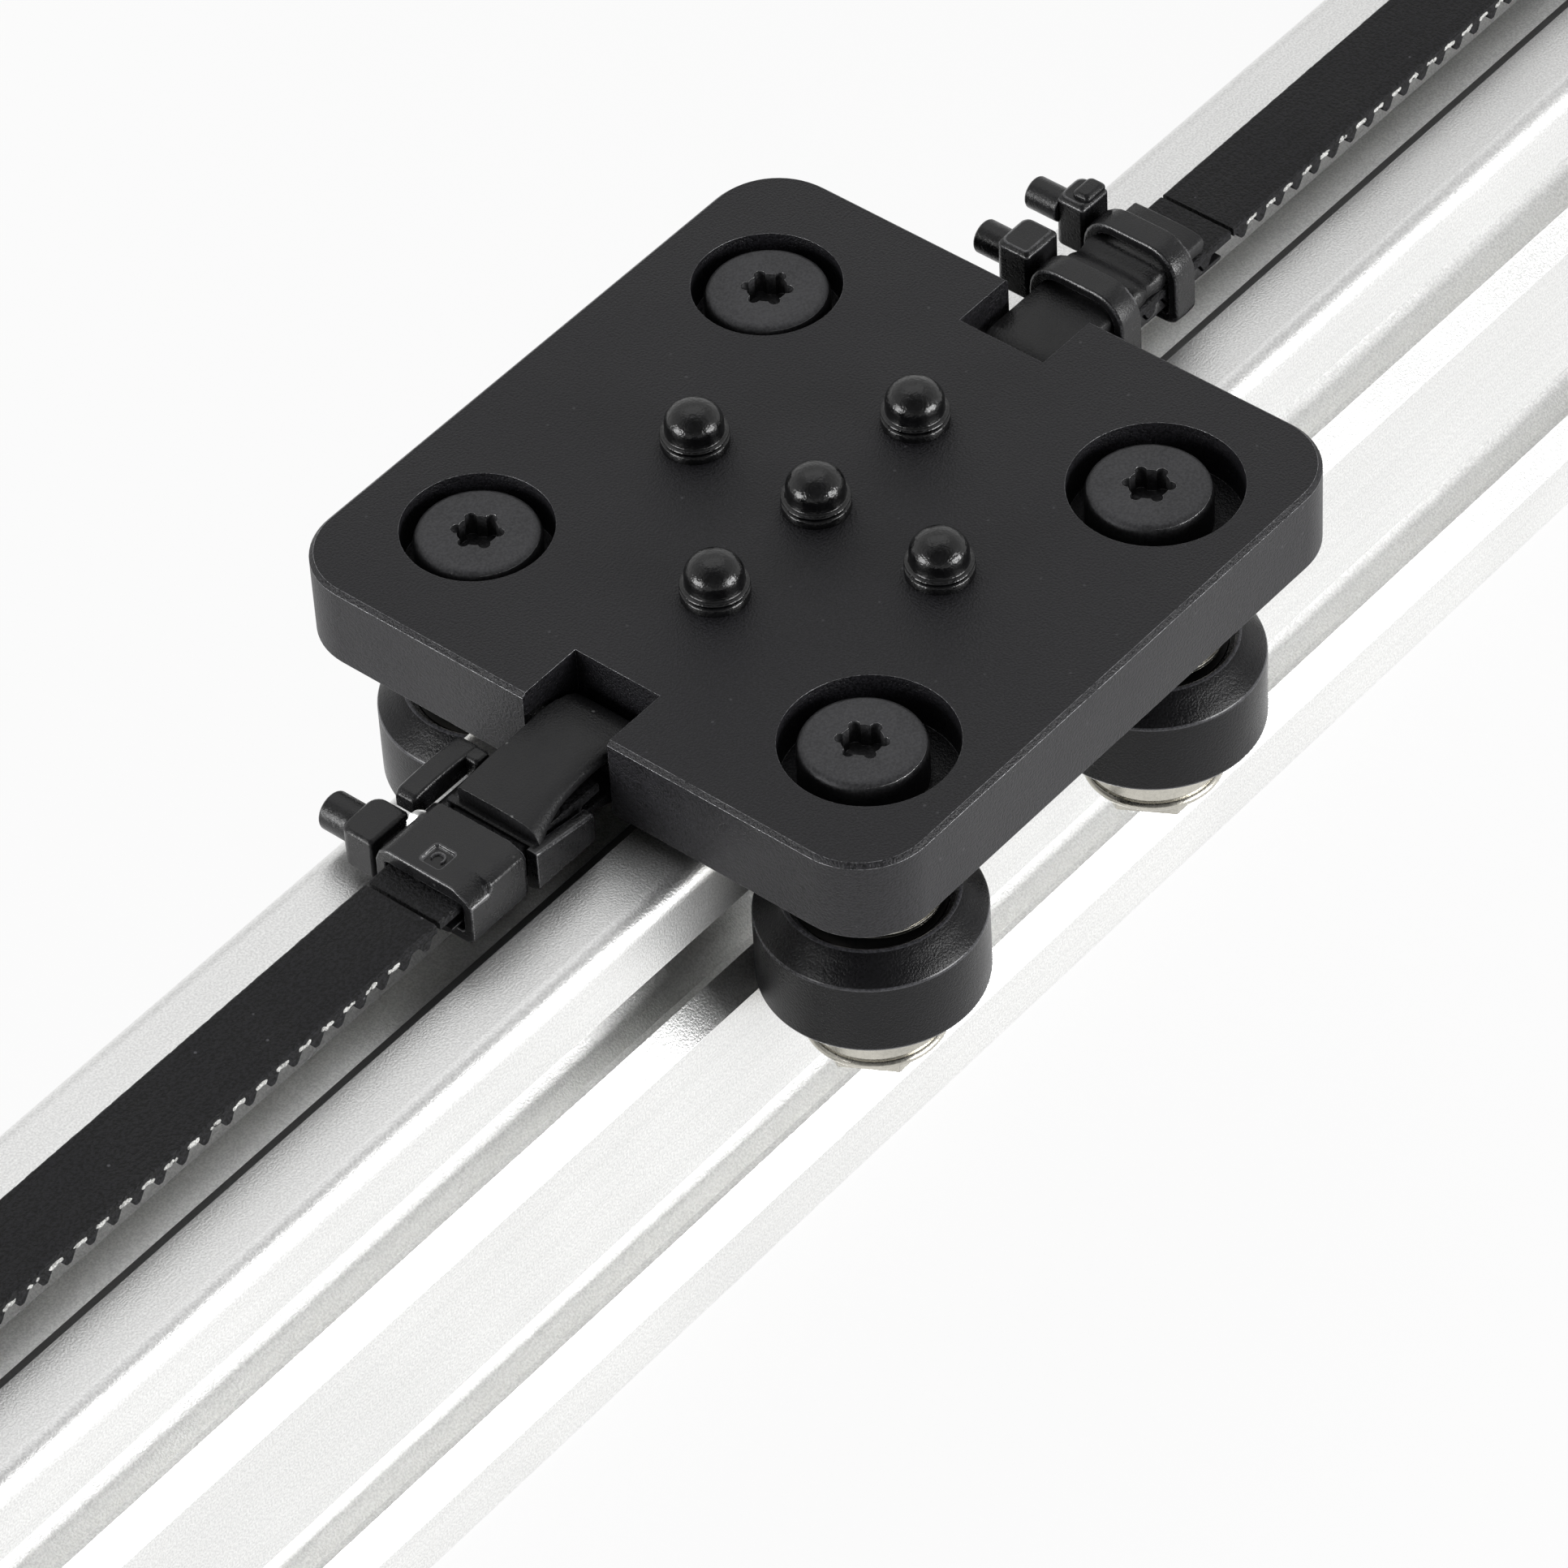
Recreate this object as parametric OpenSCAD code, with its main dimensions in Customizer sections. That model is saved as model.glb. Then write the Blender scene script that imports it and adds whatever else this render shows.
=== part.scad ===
// Belt driven linear axis. A slotted rail carries a square plate on four V wheels. A toothed
// belt runs over the rail, round a pulley at each end and back through the hollow middle of
// the rail. Its two ends are looped on pins in the notches of the plate and tied down.
// x runs along the rail, z is up, the origin is the centre of the rail's underside.

/* [Rail] */
// Length of the rail
rail_length = 250; // [220:1:600]
// Width of the rail
rail_width = 20; // [19:0.5:26]
// Height of the rail
rail_height = 40; // [38:0.5:60]
// Rounding of the four long corners
rail_corner_r = 1.5; // [0.5:0.1:2]
// Distance of the side slots from the top and bottom faces
slot_inset = 10; // [9.5:0.1:11]
// Width of a slot at the face
v_opening = 9.16; // [8.6:0.02:9.6]
// Depth of the bevelled mouth of a slot
v_depth = 1.7; // [1.4:0.05:2]
// Depth at which the slot widens behind its lips
lip_depth = 2.2; // [1.9:0.05:2.6]
// Width of the slot behind its lips
cavity_w = 11; // [10:0.1:11.6]
// Depth at which the slot starts to taper
cavity_straight = 3.2; // [2.9:0.1:3.8]
// Full depth of a slot
slot_depth = 6.1; // [5.6:0.1:6.4]
// Width of the slot floor
slot_floor_w = 5.7; // [5:0.1:6.4]
// Diameter of the two long bores
core_bore_d = 4.2; // [3.3:0.1:5]
// Wall between the middle chamber and the rail's sides
chamber_side_wall = 2.8; // [2:0.1:3.6]

/* [Carriage plate] */
// Size of the plate along the rail
plate_length = 48.5; // [46:0.5:80]
// Size of the plate across the rail
plate_width = 48.5; // [46:0.5:80]
// Thickness of the plate
plate_thickness = 6.5; // [6:0.1:9]
// Rounding of the plate corners
plate_corner_r = 5; // [1:0.5:8]
// Broken edge round the top and bottom of the plate
plate_edge = 0.3; // [0.1:0.1:0.6]
// Air between the rail and the plate
plate_gap = 1; // [0.6:0.1:3]
// Shift of the plate across the rail
plate_shift = -0.275; // [-0.3:0.005:-0.2]
// Clearance on each side of the belt in the plate's notches
notch_side = 0.45; // [0.35:0.05:1.5]
// Depth of the notch in each end of the plate
notch_depth = 5.1; // [4.5:0.1:8]

/* [Wheels] */
// Half the distance between the wheels along the rail
wheel_half_base = 14.4; // [12.5:0.1:16]
// Outer radius of a wheel
wheel_r = 7.5; // [7.3:0.01:7.7]
// Width of the flat rim of a wheel
wheel_band = 5.4; // [5:0.05:5.5]
// Depth of the 45 degree bevels of a wheel
wheel_bevel = 1.75; // [1.6:0.05:1.9]
// Play between a wheel and the mouth of its slot
wheel_play = 0.055; // [0.02:0.005:0.15]
// Radius of the shallow recess in a wheel's face
wheel_recess_r = 5.5; // [5.2:0.05:5.6]
// Depth of the shallow recess in a wheel's face
wheel_recess = 0.6; // [0.4:0.1:0.8]
// Outer radius of a wheel bearing
bearing_r = 5; // [4.5:0.1:5]
// Width of a wheel bearing
bearing_w = 3.8; // [3:0.1:3.8]
// Offset of the screw hole in an eccentric spacer
eccentric = 0.55; // [0.3:0.05:0.6]
// Outer radius of a spacer
spacer_r = 4.3; // [4:0.1:4.6]
// Radius of the nose that bears on the bearing's inner ring
nose_r = 3.3; // [3.1:0.1:3.6]
// Radius of the boss of an eccentric spacer
boss_r = 3.6; // [3.5:0.05:3.8]

/* [Screws] */
// Diameter of the axle screws
screw_d = 5; // [4:0.5:5]
// Diameter of a wheel screw's head
head_d = 8.3; // [7.6:0.1:8.6]
// Depth of the counterbore for a head
counterbore_depth = 3.2; // [2.8:0.1:3.6]
// Diameter of the counterbore over a fixed wheel
counterbore_d = 10; // [9.2:0.1:11]
// Diameter of the counterbore over an adjustable wheel
wide_counterbore_d = 11.5; // [10.4:0.1:12]
// Distance of a head's top below the plate face
head_sink = 0.3; // [0.1:0.1:0.8]
// Length of a wheel screw under its head
axle_screw_length = 24; // [23.5:0.5:35]
// Radius of the round rim of a wheel nut
rim_nut_r = 4.75; // [4.5:0.05:5]
// Height of the round body of a wheel nut
nut_body = 3.5; // [3.2:0.1:4]
// Distance across the flats of a wheel nut
nut_flats = 7; // [6.8:0.1:7.6]
// Distance of the studs from the middle of the plate
stud_pitch = 10; // [8:0.5:12]
// Height of a stud above the plate
stud_height = 3.2; // [2.4:0.1:5]

/* [Belt and pulleys] */
// Width of the belt
belt_w = 6; // [5:0.1:6.3]
// Distance between the belt teeth
tooth_pitch = 2; // [2:1:2]
// Height of a belt tooth
tooth_h = 0.75; // [0.6:0.05:0.75]
// Thickness of the belt without its teeth
belt_body = 0.63; // [0.55:0.01:0.75]
// Height of the belt's back over the rail
belt_rise = 4; // [3.8:0.1:5]
// Distance of a pulley's axle from the end of the rail
pulley_reach = 16; // [15:1:30]
// Radius of the flanges beyond the belt's back
flange_over = 1.2; // [0.8:0.1:2]
// Thickness of the end plates
side_plate = 4; // [3:0.5:6]
// Length of rail covered by an end plate
side_overlap = 28; // [26:1:40]
// Diameter of the drive shaft
shaft_d = 5; // [5:0.5:6]
// Length of the shaft beyond the end plate
shaft_stub = 22; // [15:1:40]

/* [Belt ties] */
// Width of a tie over the belt at the far end
tie_w = 2.2; // [2:0.1:3.2]
// Thickness of a tie
tie_t = 1.1; // [0.8:0.05:1.3]
// Length of a clamp saddle at the near end
saddle_w = 5.3; // [4:0.1:5.5]
// Radius of the pin that holds a belt loop
pin_r = 1; // [0.8:0.05:1.1]

/* [Clearances] */
// Play of parts seated in one another
seat_gap = 0.02; // [0.01:0.01:0.05]
// Radial play of a turning fit
run_gap = 0.03; // [0.02:0.01:0.08]
// Radial play of a screw in a plain hole
hole_gap = 0.25; // [0.1:0.05:0.4]
// End play between turning and standing parts
side_gap = 0.2; // [0.15:0.05:0.4]

/* [Hidden] */
$fn = 40;
over = 1;
through = 20;
screw_r = screw_d / 2;
neck_w = v_opening - 2 * v_depth;
slot_z = rail_height - slot_inset;
chamber_web = 5.2;
chamber_half_h = rail_height / 2 - slot_inset - chamber_web;
chamber_half_w = rail_width / 2 - chamber_side_wall;
chamber_cut = min(3, chamber_half_h - over);

plate_z = rail_height + plate_gap;
plate_top = plate_z + plate_thickness;
floor_z = plate_top - counterbore_depth;
axle_y = rail_width / 2 + wheel_r - (v_opening - wheel_band) / 2 + wheel_play;
pivot_y = axle_y + eccentric;
wheel_w = wheel_band + 2 * wheel_bevel;
wheel_top = slot_z + wheel_w / 2;
bearing_face = wheel_w / 2 - wheel_recess;
nose_z = slot_z + bearing_face + side_gap;
head_h = counterbore_depth - head_sink;
nose_h = 0.3;
nut_top = slot_z - bearing_face - side_gap;
nut_rim_h = 0.65;
rim_low = nut_top - nut_body;
nut_hex_h = 1.2;
screw_end = floor_z - axle_screw_length;
wheel_x = [-wheel_half_base, wheel_half_base];

belt_t = belt_body + tooth_h;
pitch_in = 0.254;
root_half = 0.65;
tip_half = 0.35;
back_z = rail_height + belt_rise;
pitch_z = back_z - belt_body + pitch_in;
want_d = rail_height / 2 + 3.2;
teeth = 2 * round(want_d * PI / tooth_pitch / 2);
pitch_r = teeth * tooth_pitch / PI / 2;
pulley_z = pitch_z - pitch_r;
pulley_x = round(rail_length / 2 + pulley_reach);
cut_out = 15.5;
belt_cut = 2 * round((plate_length / 2 + cut_out) / 2);
run_teeth = floor((pulley_x - belt_cut - root_half) / tooth_pitch);
turn = 360 / teeth;
rad = 180 / PI;
r_back = pitch_r + belt_body - pitch_in;
r_root = pitch_r - pitch_in;
r_tip = r_root - tooth_h;
rim_half = belt_w / 2 + 0.5;
rim_t = 1.5;
rim_r = r_back + flange_over;
idler_bearing_r = 8;
bearing_split = 0.05;
idler_bearing_w = rim_half + rim_t - bearing_split;
inner_y = rail_width / 2;
outer_y = inner_y + side_plate;
rail_end = rail_length / 2;
plate_in_x = rail_end - side_overlap;
drive_bearing_r = 6.5;
drive_bearing_w = side_plate;
rim_out = rim_half + 1.2;
hub_end = inner_y - 0.5;
bearing_out = 1;
lip = side_plate - bearing_out;

notch_w = belt_w + 2 * notch_side;
loop_r = pin_r + 0.12 + belt_t;
loop_x = plate_length / 2 - notch_depth + side_gap + loop_r;
top_leg_z = back_z + seat_gap + tooth_h + belt_body + 0.2;
pin_z = top_leg_z - loop_r;
low_leg_z = back_z - 2 * belt_body - tooth_h - 0.03;
main_end = loop_x + loop_r + 0.4;
strap_low = low_leg_z - 0.03;

// Outline helpers
function flat(rows) = [for (row = rows) each row];
module rounded_rect(w, h, r) {
    square([w - 2 * r, h], center = true);
    square([w, h - 2 * r], center = true);
    for (x = [-1, 1], y = [-1, 1]) {
        translate([x * (w / 2 - r), y * (h / 2 - r)]) circle(r = r);
    }
}
module along_x() rotate([90, 0, 90]) children();
module in_xz() rotate([90, 0, 0]) children();
module axis_y() rotate([-90, 0, 0]) children();
module tube(r_out, r_in, h) {
    difference() {
        cylinder(r = r_out, h = h);
        translate([0, 0, -over]) cylinder(r = r_in, h = h + 2 * over);
    }
}

// Rail
module slot_outline() {
    polygon([
        [-v_opening / 2, over], [v_opening / 2, over], [v_opening / 2, 0],
        [neck_w / 2, -v_depth], [neck_w / 2, -lip_depth], [cavity_w / 2, -lip_depth],
        [cavity_w / 2, -cavity_straight], [slot_floor_w / 2, -slot_depth],
        [-slot_floor_w / 2, -slot_depth], [-cavity_w / 2, -cavity_straight],
        [-cavity_w / 2, -lip_depth], [-neck_w / 2, -lip_depth],
        [-neck_w / 2, -v_depth], [-v_opening / 2, 0]
    ]);
}
module chamber_outline() {
    a = chamber_half_w;
    b = chamber_half_h;
    c = chamber_cut;
    polygon([
        [-a, c - b], [c - a, -b], [a - c, -b], [a, c - b],
        [a, b - c], [a - c, b], [c - a, b], [-a, b - c]
    ]);
}
module rail() {
    color([0.78, 0.78, 0.76]) along_x() linear_extrude(rail_length, center = true) difference() {
        translate([0, rail_height / 2]) rounded_rect(rail_width, rail_height, rail_corner_r);
        translate([0, rail_height]) slot_outline();
        rotate(180) slot_outline();
        for (z = [slot_inset, slot_z]) {
            translate([rail_width / 2, z]) rotate(-90) slot_outline();
            translate([-rail_width / 2, z]) rotate(90) slot_outline();
            translate([0, z]) circle(d = core_bore_d);
        }
        translate([0, rail_height / 2]) chamber_outline();
    }
}

// Carriage plate and its studs
module edge_profile(half) {
    h = plate_thickness / 2;
    e = plate_edge;
    polygon([
        [-half + e, -h], [half - e, -h], [half, e - h], [half, h - e],
        [half - e, h], [e - half, h], [-half, h - e], [-half, e - h]
    ]);
}
module plate_blank() {
    r = plate_corner_r;
    l = plate_length / 2;
    w = plate_width / 2;
    along_x() linear_extrude(2 * (l - r), center = true) edge_profile(w);
    in_xz() linear_extrude(2 * (w - r), center = true) edge_profile(l);
    for (x = [r - l, l - r], y = [r - w, w - r]) {
        translate([x, y, 0]) rotate_extrude() intersection() {
            edge_profile(r);
            translate([0, -plate_thickness]) square(2 * plate_thickness);
        }
    }
}
module carriage_plate() {
    color([0.18, 0.18, 0.2]) difference() {
        translate([0, plate_shift, plate_z + plate_thickness / 2]) plate_blank();
        for (s = [-1, 1]) {
            translate([s * plate_length / 2, 0, plate_z + plate_thickness / 2])
                cube([2 * notch_depth, notch_w, plate_thickness + 2 * over], center = true);
            translate([s * loop_x, 0, pin_z]) pin_groove();
        }
        for (x = wheel_x) {
            translate([x, axle_y, 0]) {
                translate([0, 0, floor_z]) cylinder(d = counterbore_d, h = counterbore_depth + over);
                translate([0, 0, plate_z - over]) cylinder(r = screw_r + hole_gap, h = plate_thickness);
            }
            translate([x, -pivot_y, 0]) {
                translate([0, 0, floor_z - side_gap])
                    cylinder(d = wide_counterbore_d, h = counterbore_depth + over);
                translate([0, 0, plate_z - over]) cylinder(r = boss_r + run_gap, h = plate_thickness);
            }
        }
        stud_places() translate([0, 0, plate_top - stud_stem])
            cylinder(r = stud_stem_r + seat_gap, h = through);
    }
}
pin_hold = 3.5;
pin_half = notch_w / 2 + pin_hold;
pin_short = 0.1;
module pin_groove() {
    in_xz() linear_extrude(2 * pin_half, center = true) {
        circle(r = pin_r + seat_gap);
        translate([-pin_r - seat_gap, -pin_z]) square([2 * pin_r + 2 * seat_gap, pin_z]);
    }
}
module belt_pins() {
    color([0.8, 0.8, 0.78]) for (s = [-1, 1]) {
        translate([s * loop_x, pin_short - pin_half, pin_z]) axis_y()
            cylinder(r = pin_r, h = 2 * (pin_half - pin_short));
    }
}
stud_stem = 4.5;
stud_stem_r = 1.8;
module stud_places() {
    for (p = [[0, 0], [-1, 0], [1, 0], [0, -1], [0, 1]]) {
        translate([p[0] * stud_pitch, p[1] * stud_pitch + plate_shift, 0]) children();
    }
}
module domed_studs() {
    dome_r = 1.75;
    dome = 1.45;
    foot_r = 2.25;
    crest_r = 2.2;
    crest_z = 1.02;
    neck_z = stud_height - dome;
    color([0.1, 0.1, 0.11]) stud_places() translate([0, 0, plate_top]) rotate_extrude() polygon(concat(
        [[0, -stud_stem], [stud_stem_r, -stud_stem], [stud_stem_r, 0], [foot_r, 0], [foot_r, 0.3],
         [dome_r + 0.05, 0.5], [dome_r + 0.05, 0.7], [crest_r, crest_z - 0.1], [crest_r, crest_z + 0.1],
         [dome_r, crest_z + 0.55]],
        [for (a = [0 : 15 : 75]) [dome_r * cos(a), neck_z + dome * sin(a)]],
        [[0, stud_height]]
    ));
}

// Wheels, their bearings, spacers, screws and nuts
module wheel_at(x, y) {
    translate([x, y, slot_z]) children();
}
module v_wheel() {
    w = wheel_w / 2;
    in = w - wheel_recess;
    bore = bearing_r + seat_gap;
    edge = wheel_r - wheel_bevel;
    b = wheel_band / 2;
    color([0.13, 0.13, 0.14]) rotate_extrude() polygon([
        [bore, -in], [wheel_recess_r, -in], [wheel_recess_r, -w], [edge, -w], [wheel_r, -b],
        [wheel_r, b], [edge, w], [wheel_recess_r, w], [wheel_recess_r, in], [bore, in]
    ]);
}
shield_sink = 0.25;
module ball_bearing(r_in, r_out, w) {
    ring_w = (r_out - r_in) / 4;
    a = r_in + ring_w;
    b = r_out - ring_w;
    d = shield_sink;
    rotate_extrude() polygon([
        [r_in, 0], [a, 0], [a, d], [b, d], [b, 0], [r_out, 0],
        [r_out, w], [b, w], [b, w - d], [a, w - d], [a, w], [r_in, w]
    ]);
}
module wheel_bearings() {
    color([0.75, 0.75, 0.74]) for (z = [-bearing_face, bearing_face - bearing_w]) {
        translate([0, 0, z]) ball_bearing(screw_r + run_gap, bearing_r, bearing_w);
    }
}
ring_h = 0.45;
ring_step = 0.7;
groove_r = spacer_r - 0.35;
spacer_play = 0.1;
module spacer_profile(bore) {
    top = plate_z;
    low = nose_z;
    step = nose_z + nose_h;
    ease = 0.1;
    polygon(concat(
        [[bore, low], [nose_r, low], [nose_r, step]],
        flat([for (z = [step, step + ring_step]) [
            [spacer_r - ease, z], [spacer_r, z + ease], [spacer_r, z + ring_h - ease],
            [spacer_r - ease, z + ring_h], [groove_r, z + ring_h], [groove_r, z + ring_step]]]),
        [[spacer_r - 1.5 * ease, step + 2 * ring_step], [spacer_r - 1.5 * ease, top], [bore, top]]
    ));
}
module fixed_spacer(x) {
    color([0.72, 0.7, 0.64]) translate([x, axle_y, 0]) rotate_extrude() spacer_profile(screw_r + spacer_play);
}
module eccentric_spacer(x) {
    color([0.72, 0.7, 0.64]) difference() {
        union() {
            translate([x, -pivot_y, 0]) {
                difference() {
                    rotate_extrude() spacer_profile(0);
                    translate([0, 0, nose_z - over]) cylinder(r = spacer_r + over, h = over + nose_h);
                }
                translate([0, 0, plate_z - over]) cylinder(r = boss_r, h = floor_z - plate_z + over);
            }
            translate([x, -axle_y, nose_z]) cylinder(r = nose_r, h = 2 * nose_h);
        }
        translate([x, -axle_y, nose_z - over]) cylinder(r = screw_r + spacer_play, h = through);
        translate([x, -pivot_y, plate_z - side_gap]) tube(spacer_r + over, boss_r, side_gap);
    }
}
socket_r = 1.35;
socket_lobe_r = 0.4;
socket_depth = 1.8;
tip_cut = 0.5;
module star_socket() {
    circle(r = socket_r);
    for (a = [0 : 60 : 300]) {
        rotate(a) translate([socket_r, 0]) circle(r = socket_lobe_r, $fn = 14);
    }
}
module axle_screw(x, y) {
    r = head_d / 2;
    color([0.2, 0.2, 0.22]) translate([x, y, floor_z]) difference() {
        rotate_extrude() polygon([
            [0, -axle_screw_length], [screw_r - tip_cut, -axle_screw_length],
            [screw_r, tip_cut - axle_screw_length], [screw_r, 0], [r, 0], [r, head_h - 0.6],
            [r - 0.15, head_h - 0.25], [r - 0.55, head_h], [0, head_h]
        ]);
        translate([0, 0, head_h - socket_depth]) linear_extrude(socket_depth + over) star_socket();
    }
}
module wheel_nut(x, y) {
    r = rim_nut_r;
    rim_top = rim_low + nut_rim_h;
    seat = nut_top - nose_h;
    ease = 0.2;
    color([0.74, 0.72, 0.66]) translate([x, y, 0]) difference() {
        union() {
            rotate_extrude() polygon([
                [0, nut_top], [nose_r, nut_top], [nose_r, seat], [r - 2.5 * ease, seat],
                [r - ease, rim_top + ease], [r - 2 * ease, rim_top], [r - ease, rim_top],
                [r, rim_top - ease], [r, rim_low + ease], [r - ease, rim_low], [0, rim_low]
            ]);
            translate([0, 0, rim_low - nut_hex_h])
                cylinder(r = nut_flats / 2 / cos(30), h = nut_hex_h + ease, $fn = 6);
        }
        translate([0, 0, screw_end - over]) cylinder(r = screw_r + seat_gap, h = through);
    }
}

// Belt. A tooth is a centre on the pitch line plus its four corner points.
function run_tooth(x, z, s) = [
    [x - s * root_half, z + s * -pitch_in], [x - s * tip_half, z + s * (-pitch_in - tooth_h)],
    [x + s * tip_half, z + s * (-pitch_in - tooth_h)], [x + s * root_half, z + s * -pitch_in]
];
tooth_sides = [[-root_half, r_root], [-tip_half, r_tip], [tip_half, r_tip], [root_half, r_root]];
function ring_tooth(x, a) = [for (q = tooth_sides)
    [x + q[1] * cos(a - q[0] * rad / r_root), pulley_z + q[1] * sin(a - q[0] * rad / r_root)]];
function arc(cx, cz, r, a, b, n) = [for (i = [0 : n])
    [cx + r * cos(a + (b - a) * i / n), cz + r * sin(a + (b - a) * i / n)]];
low_pitch_z = pulley_z - pitch_r;
module drive_belt() {
    half = teeth / 2;
    inner = concat(
        [[belt_cut, pitch_z - pitch_in]],
        flat([for (k = [run_teeth : -1 : 1]) run_tooth(pulley_x - k * tooth_pitch, pitch_z, 1)]),
        flat([for (k = [0 : half]) ring_tooth(pulley_x, 90 - k * turn)]),
        flat([for (k = [1 : pulley_x - 1]) run_tooth(pulley_x - k * tooth_pitch, low_pitch_z, -1)]),
        flat([for (k = [0 : half]) ring_tooth(-pulley_x, 270 - k * turn)]),
        flat([for (k = [1 : run_teeth]) run_tooth(k * tooth_pitch - pulley_x, pitch_z, 1)]),
        [[-belt_cut, pitch_z - pitch_in]]
    );
    outer = concat(
        [[-belt_cut, back_z]],
        arc(-pulley_x, pulley_z, r_back, 90, 270, teeth),
        arc(pulley_x, pulley_z, r_back, -90, 90, teeth),
        [[belt_cut, back_z]]
    );
    color([0.08, 0.08, 0.08]) in_xz() linear_extrude(belt_w, center = true) polygon(concat(inner, outer));
}

// Ends of the belt at the carriage: s is -1 at the near end and 1 at the far end
module belt_end(s) {
    first = ceil((main_end + root_half - 1) / 2) * 2 + 1;
    out = belt_cut - 0.3;
    root_z = back_z - belt_body;
    tips = flat([for (x = [first : tooth_pitch : out - root_half]) [
        [x - root_half, root_z], [x - tip_half, root_z - tooth_h],
        [x + tip_half, root_z - tooth_h], [x + root_half, root_z]]]);
    color([0.1, 0.1, 0.1]) scale([s, 1, 1]) in_xz() linear_extrude(belt_w, center = true)
        polygon(concat([[main_end, back_z], [main_end, root_z]], tips, [[out, root_z], [out, back_z]]));
}
near_tail = 9;
far_tail = 3;
loop_flat = 4;
loop_bare = 2.2;
module belt_loop(s, top_end) {
    first = ceil((main_end + root_half) / 2) * 2;
    out = belt_cut - 1.3;
    in_r = loop_r - belt_t;
    flat_from = loop_x + loop_flat;
    low_root = low_leg_z + belt_body;
    top_root = top_leg_z - belt_body;
    low_teeth = flat([for (x = [first : tooth_pitch : out - root_half]) [
        [x - root_half, low_root], [x - tip_half, low_root + tooth_h],
        [x + tip_half, low_root + tooth_h], [x + root_half, low_root]]]);
    top_teeth = flat([for (x = [top_end - 1 : -tooth_pitch : loop_x + loop_bare]) [
        [x + root_half, top_root], [x + tip_half, top_root - tooth_h],
        [x - tip_half, top_root - tooth_h], [x - root_half, top_root]]]);
    color([0.11, 0.11, 0.11]) scale([s, 1, 1]) in_xz() linear_extrude(belt_w, center = true)
        polygon(concat(
            [[flat_from, low_leg_z], [out, low_leg_z], [out, low_root]],
            [for (i = [len(low_teeth) - 1 : -1 : 0]) low_teeth[i]],
            arc(loop_x, pin_z, in_r, 285, 90, 14),
            [for (i = [len(top_teeth) - 1 : -1 : 0]) top_teeth[i]],
            [[top_end, top_root], [top_end, top_leg_z]],
            arc(loop_x, pin_z, loop_r, 90, 285, 16)
        ));
}

// Ties and clamps round the doubled belt
tie_in = belt_w / 2 + 0.2;
tie_out = tie_in + tie_t;
bend_r = 0.9;
shoulder_r = 2.6;
sole_r = 1;
tie_from_loop = [6.05, 11.85];
tie_x = [for (d = tie_from_loop) loop_x + d];
far_head = [3.6, 2.7, 4.2];
far_head_z = back_z - 1;
far_stub_r = 1.2;
far_stub = 2.6;
merge = 0.5;
near_from_loop = 13.35;
near_x = -loop_x - near_from_loop;
near_head = [4, 3, 3.4];
near_head_z = back_z - 3.2;
near_stub_r = 1.35;
near_stub = 2.4;
tray_from_loop = 7.45;
tray_x = -loop_x - tray_from_loop;
tray_wall = 0.9;
tray_top = back_z + 0.8;
arm_w = 1.7;
arm_reach = 3.7;
arm_from = tray_x - arm_reach;
arm_top = back_z + 1.3;
crescent = 1.6;
module tie_head(size, y0, z0) {
    translate([0, y0 + size[1] / 2, z0 + size[2] / 2]) along_x()
        linear_extrude(size[0], center = true) rounded_rect(size[1], size[2], 0.5);
}
module strap_outline(top_in) {
    foot = strap_low - tie_t;
    high = top_in + tie_t;
    top_half = tie_out - shoulder_r;
    difference() {
        union() {
            translate([-tie_out, foot + sole_r]) square([2 * tie_out, high - shoulder_r - foot - sole_r]);
            translate([sole_r - tie_out, foot]) square([2 * (tie_out - sole_r), 2 * sole_r]);
            translate([-top_half, high - shoulder_r - merge]) square([2 * top_half, shoulder_r + merge]);
            for (q = [-1, 1]) {
                translate([q * (tie_out - sole_r), foot + sole_r]) circle(r = sole_r);
                translate([q * top_half, high - shoulder_r]) circle(r = shoulder_r);
            }
        }
        translate([-tie_in, strap_low]) square([2 * tie_in, top_in - strap_low - bend_r]);
        translate([bend_r - tie_in, strap_low]) square([2 * (tie_in - bend_r), top_in - strap_low]);
        for (q = [-1, 1]) {
            translate([q * (tie_in - bend_r), top_in - bend_r]) circle(r = bend_r);
        }
    }
}
module tie_far(x) {
    y = tie_out - merge;
    color([0.06, 0.06, 0.07]) translate([x, 0, 0]) {
        along_x() linear_extrude(tie_w, center = true) strap_outline(top_leg_z + 0.35);
        tie_head(far_head, y, far_head_z);
        translate([0, y + far_head[1] - merge, far_head_z + far_head[2] / 2 - 0.3]) axis_y()
            cylinder(r = far_stub_r, h = far_stub + merge);
    }
}
module saddle_outline() {
    foot = strap_low - tie_t;
    y = tie_out;
    top = back_z + tie_t;
    ease = 0.15;
    difference() {
        polygon([
            [sole_r - y, foot], [y - sole_r, foot], [y, foot + sole_r], [y, top - 1.6],
            [y - 0.7, top - 0.5], [y - 2, top], [2 - y, top], [0.7 - y, top - 0.5],
            [-y, top - 1.6], [-y, foot + sole_r]
        ]);
        polygon([
            [-tie_in, strap_low], [tie_in, strap_low], [tie_in, back_z - ease],
            [tie_in - ease, back_z + seat_gap], [ease - tie_in, back_z + seat_gap], [-tie_in, back_z - ease]
        ]);
    }
}
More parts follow.
